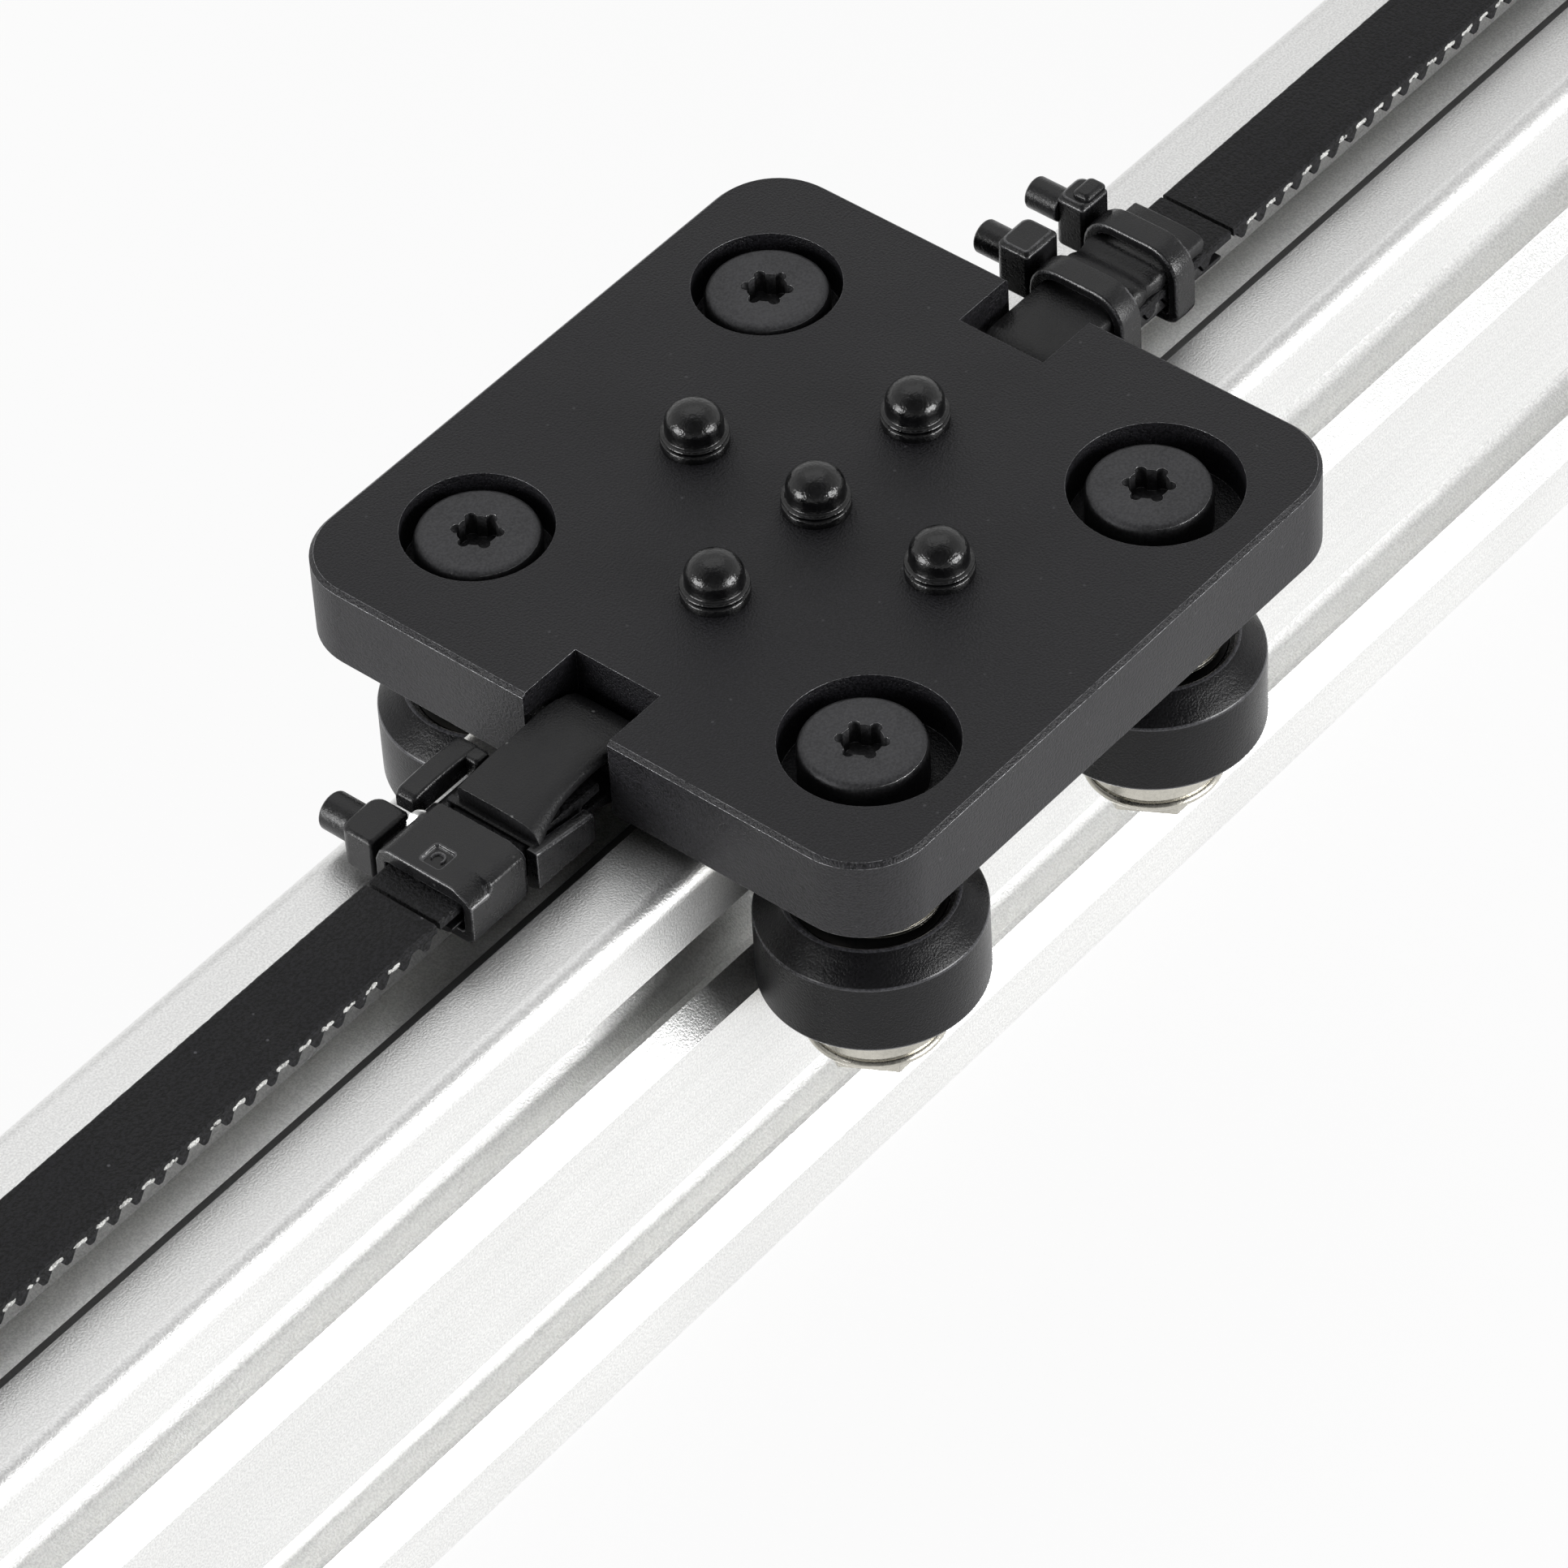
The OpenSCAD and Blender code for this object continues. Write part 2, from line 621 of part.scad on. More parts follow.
module clamp_outer() {
    y = tie_out + 0.4;
    neck = [3.2, 1.2, 1.8];
    color([0.06, 0.06, 0.07]) translate([near_x, 0, 0]) {
        difference() {
            along_x() linear_extrude(saddle_w, center = true) saddle_outline();
            translate([0, 0, back_z + tie_t]) cube([crescent, crescent, crescent / 2], center = true);
        }
        tie_head(near_head, y, near_head_z);
        translate([0, y, near_head_z + near_head[2] / 2]) cube(neck, center = true);
        translate([0, y + near_head[1] - merge, near_head_z + near_head[2] / 2]) axis_y()
            cylinder(r = near_stub_r, h = near_stub + merge);
    }
}
module clamp_inner() {
    foot = strap_low - tie_t;
    y = tie_in + tray_wall;
    out = y + 0.4 + arm_w;
    color([0.07, 0.07, 0.08]) {
        translate([tray_x, 0, 0]) along_x() linear_extrude(saddle_w, center = true) difference() {
            polygon([
                [sole_r - y, foot], [out - sole_r, foot], [out, foot + sole_r], [out, arm_top - 0.3],
                [out - 0.3, arm_top], [tie_in, arm_top], [tie_in, tray_top], [-tie_in, tray_top],
                [-y, tray_top - 0.3], [-y, foot + sole_r]
            ]);
            translate([-tie_in, strap_low]) square([2 * tie_in, through]);
        }
        translate([(arm_from + tray_x) / 2, out - arm_w / 2, (arm_top + back_z) / 2])
            cube([tray_x - arm_from, arm_w, arm_top - back_z], center = true);
    }
}

// End plates, pulleys and axles
function touch(px, pz, turn_side) =
    let (dx = px - pulley_x, dz = pz - pulley_z, d = sqrt(dx * dx + dz * dz), r = end_r - 0.02,
         a = atan2(dz, dx) + turn_side * acos(r / d))
    [pulley_x + r * cos(a), pulley_z + r * sin(a)];
end_r = 16;
end_margin = 3;
end_cut = 2.5;
end_foot = pulley_x + 8;
end_step = plate_in_x + 8;
standoff_z = 9;
standoff_screw_r = 2;
belt_take_up = 4;
end_holes = [[7, slot_inset], [20, slot_inset], [14, slot_z]];
module end_blank() {
    low = end_margin;
    high = rail_height - end_margin;
    axle = [pulley_x, pulley_z];
    translate([pulley_x, 0, pulley_z]) axis_y() cylinder(r = end_r, h = side_plate, center = true);
    in_xz() linear_extrude(side_plate, center = true) polygon([
        [plate_in_x, low + end_cut], [plate_in_x, high - end_cut], [plate_in_x + end_cut, high],
        [end_step, high], touch(end_step, high, -1), axle,
        touch(end_foot, low, 1), [end_foot, low], [plate_in_x + end_cut, low]
    ]);
}
module end_plate(end, side) {
    y = side * (inner_y + side_plate / 2);
    axle_hole = screw_r + hole_gap;
    color([0.16, 0.16, 0.18]) scale([end, 1, 1]) translate([0, y, 0]) difference() {
        end_blank();
        for (p = end_holes) {
            translate([rail_end - p[0], 0, p[1]]) axis_y()
                cylinder(r = axle_hole, h = through, center = true);
        }
        translate([pulley_x, 0, standoff_z]) axis_y()
            cylinder(r = standoff_screw_r + hole_gap, h = through, center = true);
        translate([pulley_x, 0, pulley_z]) axis_y() {
            if (end < 0) {
                cylinder(r = axle_hole, h = through, center = true);
                translate([belt_take_up, 0, 0]) cylinder(r = axle_hole, h = through, center = true);
                translate([belt_take_up / 2, 0, 0])
                    cube([belt_take_up, 2 * axle_hole, through], center = true);
            } else {
                cylinder(r = drive_bearing_r + seat_gap, h = through, center = true);
            }
        }
    }
}
module end_screw_places() {
    for (end = [-1, 1], side = [-1, 1], p = end_holes) {
        translate([end * (rail_end - p[0]), side * outer_y, p[1]]) rotate([-90 * side, 0, 0]) children();
    }
}
module button_screw(r, head_r, head, shank, key_r) {
    lip = 0.6;
    difference() {
        rotate_extrude($fn = 28) polygon([
            [0, -shank], [r, -shank], [r, 0], [head_r, 0], [head_r, lip],
            [0.83 * head_r, 0.74 * head], [0.55 * head_r, head], [0, head]
        ]);
        translate([0, 0, head / 3]) cylinder(r = key_r, h = head, $fn = 6);
    }
}
end_screw_length = side_plate + 4.6;
end_screw_head = [4.7, 2.7, 1.73];
module end_plate_screws() {
    color([0.25, 0.25, 0.27]) end_screw_places()
        button_screw(screw_r, end_screw_head[0], end_screw_head[1], end_screw_length, end_screw_head[2]);
}
nut_length = 10;
nut_h = 3.3;
nut_edge = 0.9;
nut_taper = 2.2;
module slot_nuts() {
    top = -side_plate - lip_depth;
    half = cavity_w / 2 - 2 * hole_gap - 0.1;
    low_half = half - nut_taper;
    color([0.66, 0.66, 0.64]) end_screw_places() difference() {
        along_x() linear_extrude(nut_length, center = true) polygon([
            [-half, top], [half, top], [half, top - nut_edge], [low_half, top - nut_h],
            [-low_half, top - nut_h], [-half, top - nut_edge]
        ]);
        translate([0, 0, top - nut_h - over]) cylinder(r = screw_r + seat_gap, h = nut_h + 2 * over);
    }
}
module standoffs() {
    color([0.7, 0.7, 0.68]) for (s = [-1, 1]) {
        translate([s * pulley_x, -inner_y, standoff_z]) axis_y() difference() {
            cylinder(r = 4, h = 2 * inner_y, $fn = 6);
            translate([0, 0, -over]) cylinder(r = standoff_screw_r + seat_gap, h = 2 * inner_y + 2 * over);
        }
    }
}
standoff_head = [3.8, 2.2, 1.45];
module standoff_screws() {
    h = standoff_head;
    color([0.25, 0.25, 0.27]) for (s = [-1, 1], side = [-1, 1]) {
        translate([s * pulley_x, side * outer_y, standoff_z]) rotate([-90 * side, 0, 0])
            button_screw(standoff_screw_r, h[0], h[1], side_plate + 8, h[2]);
    }
}
module pulley_rim(flange_t) {
    g = 0.06;
    out_r = r_root - g;
    groove = r_tip - 0.1;
    w = [root_half + 0.12, tip_half + 0.12];
    deg = rad / r_root;
    axis_y() {
        linear_extrude(2 * rim_half, center = true) polygon(flat([for (k = [0 : teeth - 1]) [
            for (q = [[-w[0], out_r], [-w[1], groove], [w[1], groove], [w[0], out_r]])
                [q[1] * cos(90 + k * turn + q[0] * deg), q[1] * sin(90 + k * turn + q[0] * deg)]]]));
        for (s = [-1, 1]) {
            scale([1, 1, s]) translate([0, 0, rim_half]) rotate_extrude() polygon([
                [0, 0], [rim_r - 0.5, 0], [rim_r, 0.35], [rim_r, flange_t - 0.2],
                [rim_r - 0.2, flange_t], [0, flange_t]
            ]);
        }
    }
}
module idler_pulley() {
    color([0.7, 0.7, 0.69]) translate([-pulley_x, 0, pulley_z]) difference() {
        pulley_rim(rim_t);
        axis_y() cylinder(r = idler_bearing_r + seat_gap, h = 2 * through, center = true);
    }
}
module idler_bearings() {
    color([0.75, 0.75, 0.74]) for (y = [-rim_half - rim_t, bearing_split]) {
        translate([-pulley_x, y, pulley_z]) axis_y()
            ball_bearing(screw_r + run_gap, idler_bearing_r, idler_bearing_w);
    }
}
module idler_shims() {
    h = inner_y - rim_half - rim_t - side_gap;
    color([0.72, 0.7, 0.64]) for (y = [-inner_y, inner_y - h]) {
        translate([-pulley_x, y, pulley_z]) axis_y() tube(shim_r, screw_r + spacer_play, h);
    }
}
bolt_head_r = 4.25;
bolt_head = 5;
bolt_key = 2.6;
module idler_axle_bolt() {
    r = bolt_head_r;
    end = 2 * outer_y + bolt_head + 1;
    ease = 0.4;
    color([0.25, 0.25, 0.27]) translate([-pulley_x, -outer_y, pulley_z]) axis_y() difference() {
        rotate_extrude() polygon([
            [0, -bolt_head], [r - ease, -bolt_head], [r, ease - bolt_head], [r, 0], [screw_r, 0],
            [screw_r, end - tip_cut], [screw_r - tip_cut, end], [0, end]
        ]);
        translate([0, 0, -bolt_head - over]) cylinder(r = 2.3, h = over + bolt_key, $fn = 6);
    }
}
axle_nut_flats = 8;
axle_nut_h = 4.6;
axle_nut_flange_r = 4.9;
axle_nut_flange = 0.9;
module idler_axle_nut() {
    color([0.74, 0.72, 0.66]) translate([-pulley_x, outer_y, pulley_z]) axis_y() difference() {
        union() {
            cylinder(r = axle_nut_flats / 2 / cos(30), h = axle_nut_h, $fn = 6);
            cylinder(r = axle_nut_flange_r, h = axle_nut_flange);
        }
        translate([0, 0, -over]) cylinder(r = screw_r + seat_gap, h = through);
    }
}
shaft_r = shaft_d / 2;
shaft_back = outer_y + 3;
clip_y = inner_y + drive_bearing_w + bearing_out + side_gap;
clip_t = 0.6;
clip_in = shaft_r - 0.4;
clip_r = 4.4;
clip_mouth = 3.4;
module drive_shaft() {
    back = -shaft_back;
    front = outer_y + shaft_stub;
    g = clip_t + 0.04;
    color([0.8, 0.8, 0.79]) translate([pulley_x, 0, pulley_z]) axis_y() rotate_extrude() polygon([
        [0, back], [shaft_r - 0.4, back], [shaft_r, back + 0.4], [shaft_r, -clip_y - g],
        [clip_in, -clip_y - g], [clip_in, -clip_y], [shaft_r, -clip_y], [shaft_r, clip_y],
        [clip_in, clip_y], [clip_in, clip_y + g], [shaft_r, clip_y + g], [shaft_r, front - 0.4],
        [shaft_r - 0.4, front], [0, front]
    ]);
}
module shaft_clips() {
    color([0.25, 0.25, 0.27]) for (y = [-clip_y - clip_t - 0.02, clip_y + 0.02]) {
        translate([pulley_x, y, pulley_z]) axis_y() linear_extrude(clip_t) difference() {
            circle(r = clip_r);
            circle(r = clip_in + seat_gap);
            translate([-clip_mouth / 2, 0]) square([clip_mouth, clip_r + over]);
            for (s = [-1, 1]) {
                translate([s * (clip_r - 1.5), -1]) circle(r = 0.7);
            }
        }
    }
}
hub_r = 8;
module drive_pulley() {
    hub = hub_end - rim_half;
    color([0.7, 0.7, 0.69]) translate([pulley_x, 0, pulley_z]) difference() {
        union() {
            pulley_rim(rim_out - rim_half);
            translate([0, -hub_end, 0]) axis_y() cylinder(r = hub_r, h = hub);
        }
        axis_y() cylinder(r = shaft_r + seat_gap, h = 2 * through, center = true);
        grub_places() cylinder(r = grub_r + seat_gap, h = through);
    }
}
grub_r = 1.5;
grub_length = 4.5;
module grub_places() {
    for (a = [0, 90]) {
        translate([0, -(hub_end + rim_out) / 2, 0]) rotate([0, a, 0]) children();
    }
}
module pulley_grub_screws() {
    color([0.25, 0.25, 0.27]) translate([pulley_x, 0, pulley_z]) grub_places()
        translate([0, 0, shaft_r + seat_gap]) difference() {
            cylinder(r = grub_r, h = grub_length);
            translate([0, 0, 2 * grub_length / 3]) cylinder(r = 0.85, h = grub_length, $fn = 6);
        }
}
module drive_bearings() {
    color([0.75, 0.75, 0.74]) for (s = [-1, 1]) {
        scale([1, s, 1]) translate([pulley_x, inner_y + bearing_out, pulley_z]) axis_y() {
            ball_bearing(shaft_r + run_gap, drive_bearing_r, drive_bearing_w);
            translate([0, 0, lip]) tube(drive_bearing_r + bearing_out, drive_bearing_r - 0.4, bearing_out);
        }
    }
}
shim_r = 3.7;
module drive_shims() {
    stop = inner_y + bearing_out - side_gap;
    color([0.72, 0.7, 0.64]) translate([pulley_x, 0, pulley_z]) axis_y() {
        translate([0, 0, -stop]) tube(shim_r, shaft_r + seat_gap, stop - hub_end);
        translate([0, 0, rim_out]) tube(shim_r, shaft_r + seat_gap, stop - rim_out);
    }
}

xl = -wheel_half_base;
xr = wheel_half_base;
rail();
end_plate(-1, -1);  // end_plate_idler_front
end_plate(-1, 1);  // end_plate_idler_back
end_plate(1, -1);  // end_plate_drive_front
end_plate(1, 1);  // end_plate_drive_back
end_plate_screws();
slot_nuts();
standoffs();
standoff_screws();
idler_axle_bolt();
idler_axle_nut();
idler_shims();
idler_pulley();
idler_bearings();
drive_shaft();
drive_pulley();
pulley_grub_screws();
drive_bearings();
drive_shims();
shaft_clips();
drive_belt();
carriage_plate();
domed_studs();
belt_pins();
belt_end(-1);  // belt_end_near
belt_end(1);  // belt_end_far
belt_loop(-1, belt_cut - near_tail);  // belt_loop_near
belt_loop(1, belt_cut - far_tail);  // belt_loop_far
clamp_outer();  // clamp_near_outer
clamp_inner();  // clamp_near_inner
tie_far(tie_x[0]);  // tie_far_inner
tie_far(tie_x[1]);  // tie_far_outer
fixed_spacer(xl);  // spacer_back_left
fixed_spacer(xr);  // spacer_back_right
axle_screw(xl, axle_y);  // screw_back_left
axle_screw(xr, axle_y);  // screw_back_right
wheel_nut(xl, axle_y);  // nut_back_left
wheel_nut(xr, axle_y);  // nut_back_right
eccentric_spacer(xl);  // eccentric_front_left
eccentric_spacer(xr);  // eccentric_front_right
axle_screw(xl, -axle_y);  // screw_front_left
axle_screw(xr, -axle_y);  // screw_front_right
wheel_nut(xl, -axle_y);  // nut_front_left
wheel_nut(xr, -axle_y);  // nut_front_right
wheel_at(xl, axle_y) v_wheel();  // wheel_back_left
wheel_at(xr, axle_y) v_wheel();  // wheel_back_right
wheel_at(xl, -axle_y) v_wheel();  // wheel_front_left
wheel_at(xr, -axle_y) v_wheel();  // wheel_front_right
wheel_at(xl, axle_y) wheel_bearings();  // bearings_back_left
wheel_at(xr, axle_y) wheel_bearings();  // bearings_back_right
wheel_at(xl, -axle_y) wheel_bearings();  // bearings_front_left
wheel_at(xr, -axle_y) wheel_bearings();  // bearings_front_right
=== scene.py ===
"""Looks of a belt driven linear axis: rail, carriage on V wheels, toothed belt, ties and ends."""

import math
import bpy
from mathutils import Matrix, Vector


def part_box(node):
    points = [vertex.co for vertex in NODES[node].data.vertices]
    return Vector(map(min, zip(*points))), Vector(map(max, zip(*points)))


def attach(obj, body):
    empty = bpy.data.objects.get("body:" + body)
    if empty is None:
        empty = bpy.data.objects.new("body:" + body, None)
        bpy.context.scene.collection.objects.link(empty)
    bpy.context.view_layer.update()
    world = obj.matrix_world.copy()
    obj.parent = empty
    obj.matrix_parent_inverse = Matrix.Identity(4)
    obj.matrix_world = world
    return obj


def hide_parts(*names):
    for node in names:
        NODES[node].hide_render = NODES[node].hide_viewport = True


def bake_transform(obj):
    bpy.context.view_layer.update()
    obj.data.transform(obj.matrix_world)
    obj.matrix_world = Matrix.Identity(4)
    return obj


bl_info = {
    "name": "Belt driven linear axis",
    "version": (1, 0, 0),
    "blender": (4, 5, 0),
    "location": "View3D > Sidebar > Linear axis",
    "description": "Builds the looks of a belt driven linear axis round its packed frame",
    "category": "Object",
}

import bmesh
import bpy
from bpy.props import FloatProperty, FloatVectorProperty, PointerProperty
from bpy.types import Operator, Panel, PropertyGroup
from mathutils import Matrix, Vector, noise

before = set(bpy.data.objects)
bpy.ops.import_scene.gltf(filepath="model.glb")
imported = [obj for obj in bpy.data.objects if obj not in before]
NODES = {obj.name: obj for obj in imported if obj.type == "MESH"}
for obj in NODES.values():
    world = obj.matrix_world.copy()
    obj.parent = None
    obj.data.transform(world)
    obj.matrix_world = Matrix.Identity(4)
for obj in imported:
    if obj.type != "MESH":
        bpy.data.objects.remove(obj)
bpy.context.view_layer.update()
MM = 0.001
JOIN_DISTANCE = 1e-7


def middle(node):
    low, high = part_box(node)
    return (low + high) / 2


def size_of(node):
    low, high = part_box(node)
    return high - low


PULLEY = middle("drive_pulley")
PLATE_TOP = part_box("carriage_plate")[1].z / MM
BELT_HALF = size_of("drive_belt").y / 2 / MM
BELT_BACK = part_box("drive_belt")[1].z / MM
BELT_THICK = size_of("belt_end_near").z / MM


# ---------------------------------------------------------------- settings


PLAIN_COLOUR = {"subtype": "COLOR", "size": 3, "min": 0, "max": 1}


class LinearAxisColours(PropertyGroup):
    rail: FloatVectorProperty(
        name="Rail", description="Satin alloy of the rail and the pulleys",
        default=(0.875, 0.875, 0.865), **PLAIN_COLOUR)
    plate: FloatVectorProperty(
        name="Plate", description="Black anodised carriage plate",
        default=(0.0095, 0.0092, 0.0112), **PLAIN_COLOUR)
    end_plate: FloatVectorProperty(
        name="End plates", description="Black anodised end plates",
        default=(0.013, 0.013, 0.0145), **PLAIN_COLOUR)
    wheel: FloatVectorProperty(
        name="Wheels", description="Black acetal of the V wheels",
        default=(0.0050, 0.0049, 0.0058), **PLAIN_COLOUR)
    belt: FloatVectorProperty(
        name="Belt", description="Rubber of the toothed belt",
        default=(0.0078, 0.0077, 0.0088), **PLAIN_COLOUR)
    tie: FloatVectorProperty(
        name="Ties", description="Black nylon of the ties and clamps",
        default=(0.007, 0.007, 0.0078), **PLAIN_COLOUR)
    stud: FloatVectorProperty(
        name="Studs", description="Glossy black studs",
        default=(0.0022, 0.0022, 0.0025), **PLAIN_COLOUR)
    dark_steel: FloatVectorProperty(
        name="Dark steel", description="Blackened steel of the screws",
        default=(0.062, 0.062, 0.065), **PLAIN_COLOUR)
    nickel: FloatVectorProperty(
        name="Nickel", description="Nickel plated spacers and nuts",
        default=(0.54, 0.52, 0.465), **PLAIN_COLOUR)
    steel: FloatVectorProperty(
        name="Bright steel", description="Ground steel of shafts, pins and bearing rings",
        default=(0.70, 0.70, 0.69), **PLAIN_COLOUR)
    floor: FloatVectorProperty(
        name="Floor", description="Pale floor under the axis",
        default=(0.93, 0.93, 0.93), **PLAIN_COLOUR)


class LinearAxisSizes(PropertyGroup):
    edge: FloatProperty(
        name="Edge rounding", description="Rounding of machined edges",
        default=0.00012, min=0.00002, max=0.0004, unit="LENGTH", precision=5)
    tooth_pitch: FloatProperty(
        name="Tooth pitch", description="Distance between the belt teeth",
        default=0.002, min=0.001, max=0.005, unit="LENGTH", precision=4)
    tooth_height: FloatProperty(
        name="Tooth height", description="Height of a belt tooth",
        default=0.00075, min=0.0004, max=0.0012, unit="LENGTH", precision=5)
    belt_fray: FloatProperty(
        name="Belt edge fray", description="How ragged the cut edges of the belt are",
        default=0.00004, min=0, max=0.0002, unit="LENGTH", precision=5)
    stud_height: FloatProperty(
        name="Stud height", description="Height of a stud above the plate",
        default=0.0031, min=0.002, max=0.0032, unit="LENGTH", precision=4)
    stud_radius: FloatProperty(
        name="Stud dome radius", description="Radius of a stud's dome",
        default=0.00194, min=0.001, max=0.002, unit="LENGTH", precision=5)
    tie_thick: FloatProperty(
        name="Tie thickness", description="Thickness of a tie's strap",
        default=0.0011, min=0.0007, max=0.0012, unit="LENGTH", precision=4)


class LinearAxisStage(PropertyGroup):
    sky: FloatProperty(
        name="Sky", description="Strength of the light all round",
        default=0.62, min=0, max=3)
    shine: FloatProperty(
        name="Shine", description="Strength of the room where it is seen in a surface",
        default=0.84, min=0, max=3)
    right_lamp: FloatProperty(
        name="Right lamp", description="Power of the soft lamp on the right",
        default=2.6, min=0, max=50, unit="POWER")
    left_lamp: FloatProperty(
        name="Left lamp", description="Power of the soft lamp on the left",
        default=2.2, min=0, max=50, unit="POWER")
    top_lamp: FloatProperty(
        name="Top lamp", description="Power of the soft lamp overhead",
        default=0.6, min=0, max=50, unit="POWER")
    floor_half: FloatProperty(
        name="Floor half size", description="Half the side of the floor",
        default=3.0, min=0.5, max=20, unit="LENGTH")
    lens: FloatProperty(
        name="Lens", description="Focal length of the camera in millimetres",
        default=188.968, min=20, max=400)


# ---------------------------------------------------------------- shader node helpers


def new_group(name, inputs, outputs):
    """An empty shader node group with typed sockets; returns it with its two end nodes."""
    tree = bpy.data.node_groups.new(name, "ShaderNodeTree")
    for label, kind, default in inputs:
        socket = tree.interface.new_socket(name=label, in_out="INPUT", socket_type=kind)
        if default is not None:
            socket.default_value = default
    for label, kind in outputs:
        tree.interface.new_socket(name=label, in_out="OUTPUT", socket_type=kind)
    start = tree.nodes.new("NodeGroupInput")
    end = tree.nodes.new("NodeGroupOutput")
    return tree, start, end


def add(tree, kind, **values):
    """A node with its properties set by name."""
    made = tree.nodes.new(kind)
    for key, value in values.items():
        setattr(made, key, value)
    return made


def feed(tree, socket, value):
    """Links another socket into this one, or sets a plain value on it."""
    if isinstance(value, bpy.types.NodeSocket):
        tree.links.new(value, socket)
    else:
        socket.default_value = value


def math_node(tree, operation, first, second=0.0, clamp=False):
    made = add(tree, "ShaderNodeMath", operation=operation, use_clamp=clamp)
    feed(tree, made.inputs[0], first)
    feed(tree, made.inputs[1], second)
    return made.outputs[0]


def scaled_noise(tree, vector, scale, detail, rough=0.5):
    made = add(tree, "ShaderNodeTexNoise", noise_dimensions="3D")
    for label, value in (("Vector", vector), ("Scale", scale), ("Detail", detail), ("Roughness", rough)):
        feed(tree, made.inputs[label], value)
    return made.outputs["Fac"]


def mapped_range(tree, value, low, high, to_low=0.0, to_high=1.0):
    made = add(tree, "ShaderNodeMapRange", interpolation_type="SMOOTHSTEP")
    for label, number in (("Value", value), ("From Min", low), ("From Max", high),
                          ("To Min", to_low), ("To Max", to_high)):
        feed(tree, made.inputs[label], number)
    return made.outputs["Result"]


def scaled_colour(tree, colour, factor):
    made = add(tree, "ShaderNodeVectorMath", operation="SCALE")
    feed(tree, made.inputs[0], colour)
    feed(tree, made.inputs["Scale"], factor)
    return made.outputs[0]


MIX_FIRST, MIX_SECOND, MIX_RESULT = 6, 7, 2  # colour sockets of a Mix node


def mixed_colour(tree, factor, first, second):
    """Mixes a socket's colour towards a plain one."""
    made = add(tree, "ShaderNodeMix", data_type="RGBA", blend_type="MIX")
    feed(tree, made.inputs["Factor"], factor)
    feed(tree, made.inputs[MIX_FIRST], first)
    feed(tree, made.inputs[MIX_SECOND], (*second, 1))
    return made.outputs[MIX_RESULT]


FLOAT, COLOUR, VECTOR = "NodeSocketFloat", "NodeSocketColor", "NodeSocketVector"
NOISE_LOW, NOISE_HIGH = 0.3, 0.7  # most values of a noise lie between these


def grain_group():
    """Fine speckle over soft blotches, for sandblasted, moulded and plated skins."""
    known = bpy.data.node_groups.get("Skin grain")
    if known:
        return known
    tree, start, end = new_group(
        "Skin grain",
        [("Vector", VECTOR, None), ("Color", COLOUR, (0.5, 0.5, 0.5, 1)), ("Roughness", FLOAT, 0.5),
         ("Speckle Scale", FLOAT, 5000.0), ("Speckle", FLOAT, 0.2), ("Blotch Scale", FLOAT, 120.0),
         ("Blotch", FLOAT, 0.1), ("Roughness Swing", FLOAT, 0.1)],
        [("Color", COLOUR), ("Roughness", FLOAT), ("Height", FLOAT)])
    fine = scaled_noise(tree, start.outputs["Vector"], start.outputs["Speckle Scale"], 2.0, 0.6)
    fine = mapped_range(tree, fine, NOISE_LOW, NOISE_HIGH, -0.5, 0.5)
    broad = scaled_noise(tree, start.outputs["Vector"], start.outputs["Blotch Scale"], 3.0)
    broad = mapped_range(tree, broad, NOISE_LOW, NOISE_HIGH, -0.5, 0.5)
    speckle = math_node(tree, "MULTIPLY", fine, start.outputs["Speckle"])
    blotch = math_node(tree, "MULTIPLY", broad, start.outputs["Blotch"])
    factor = math_node(tree, "ADD", math_node(tree, "ADD", speckle, blotch), 1.0)
    tree.links.new(scaled_colour(tree, start.outputs["Color"], factor), end.inputs["Color"])
    fine_share = 0.6
    both = math_node(tree, "ADD", math_node(tree, "MULTIPLY", fine, fine_share), broad)
    swing = math_node(tree, "MULTIPLY", both, start.outputs["Roughness Swing"])
    tree.links.new(math_node(tree, "ADD", start.outputs["Roughness"], swing, True), end.inputs["Roughness"])
    tree.links.new(math_node(tree, "ADD", fine, 0.5), end.inputs["Height"])
    return tree


def streak_group():
    """Fine lines along x, as drawing and brushing leave them."""
    known = bpy.data.node_groups.get("Drawn lines")
    if known:
        return known
    tree, start, end = new_group(
        "Drawn lines",
        [("Vector", VECTOR, None), ("Along", VECTOR, (6.0, 900.0, 900.0)), ("Strength", FLOAT, 1.0)],
        [("Mask", FLOAT), ("Height", FLOAT)])
    stretch = add(tree, "ShaderNodeVectorMath", operation="MULTIPLY")
    tree.links.new(start.outputs["Vector"], stretch.inputs[0])
    tree.links.new(start.outputs["Along"], stretch.inputs[1])
    lines = scaled_noise(tree, stretch.outputs[0], 1.0, 4.0, 0.65)
    centred = mapped_range(tree, lines, 0.35, 0.65, -1.0, 1.0)
    tree.links.new(math_node(tree, "MULTIPLY", centred, start.outputs["Strength"]), end.inputs["Mask"])
    tree.links.new(lines, end.inputs["Height"])
    return tree


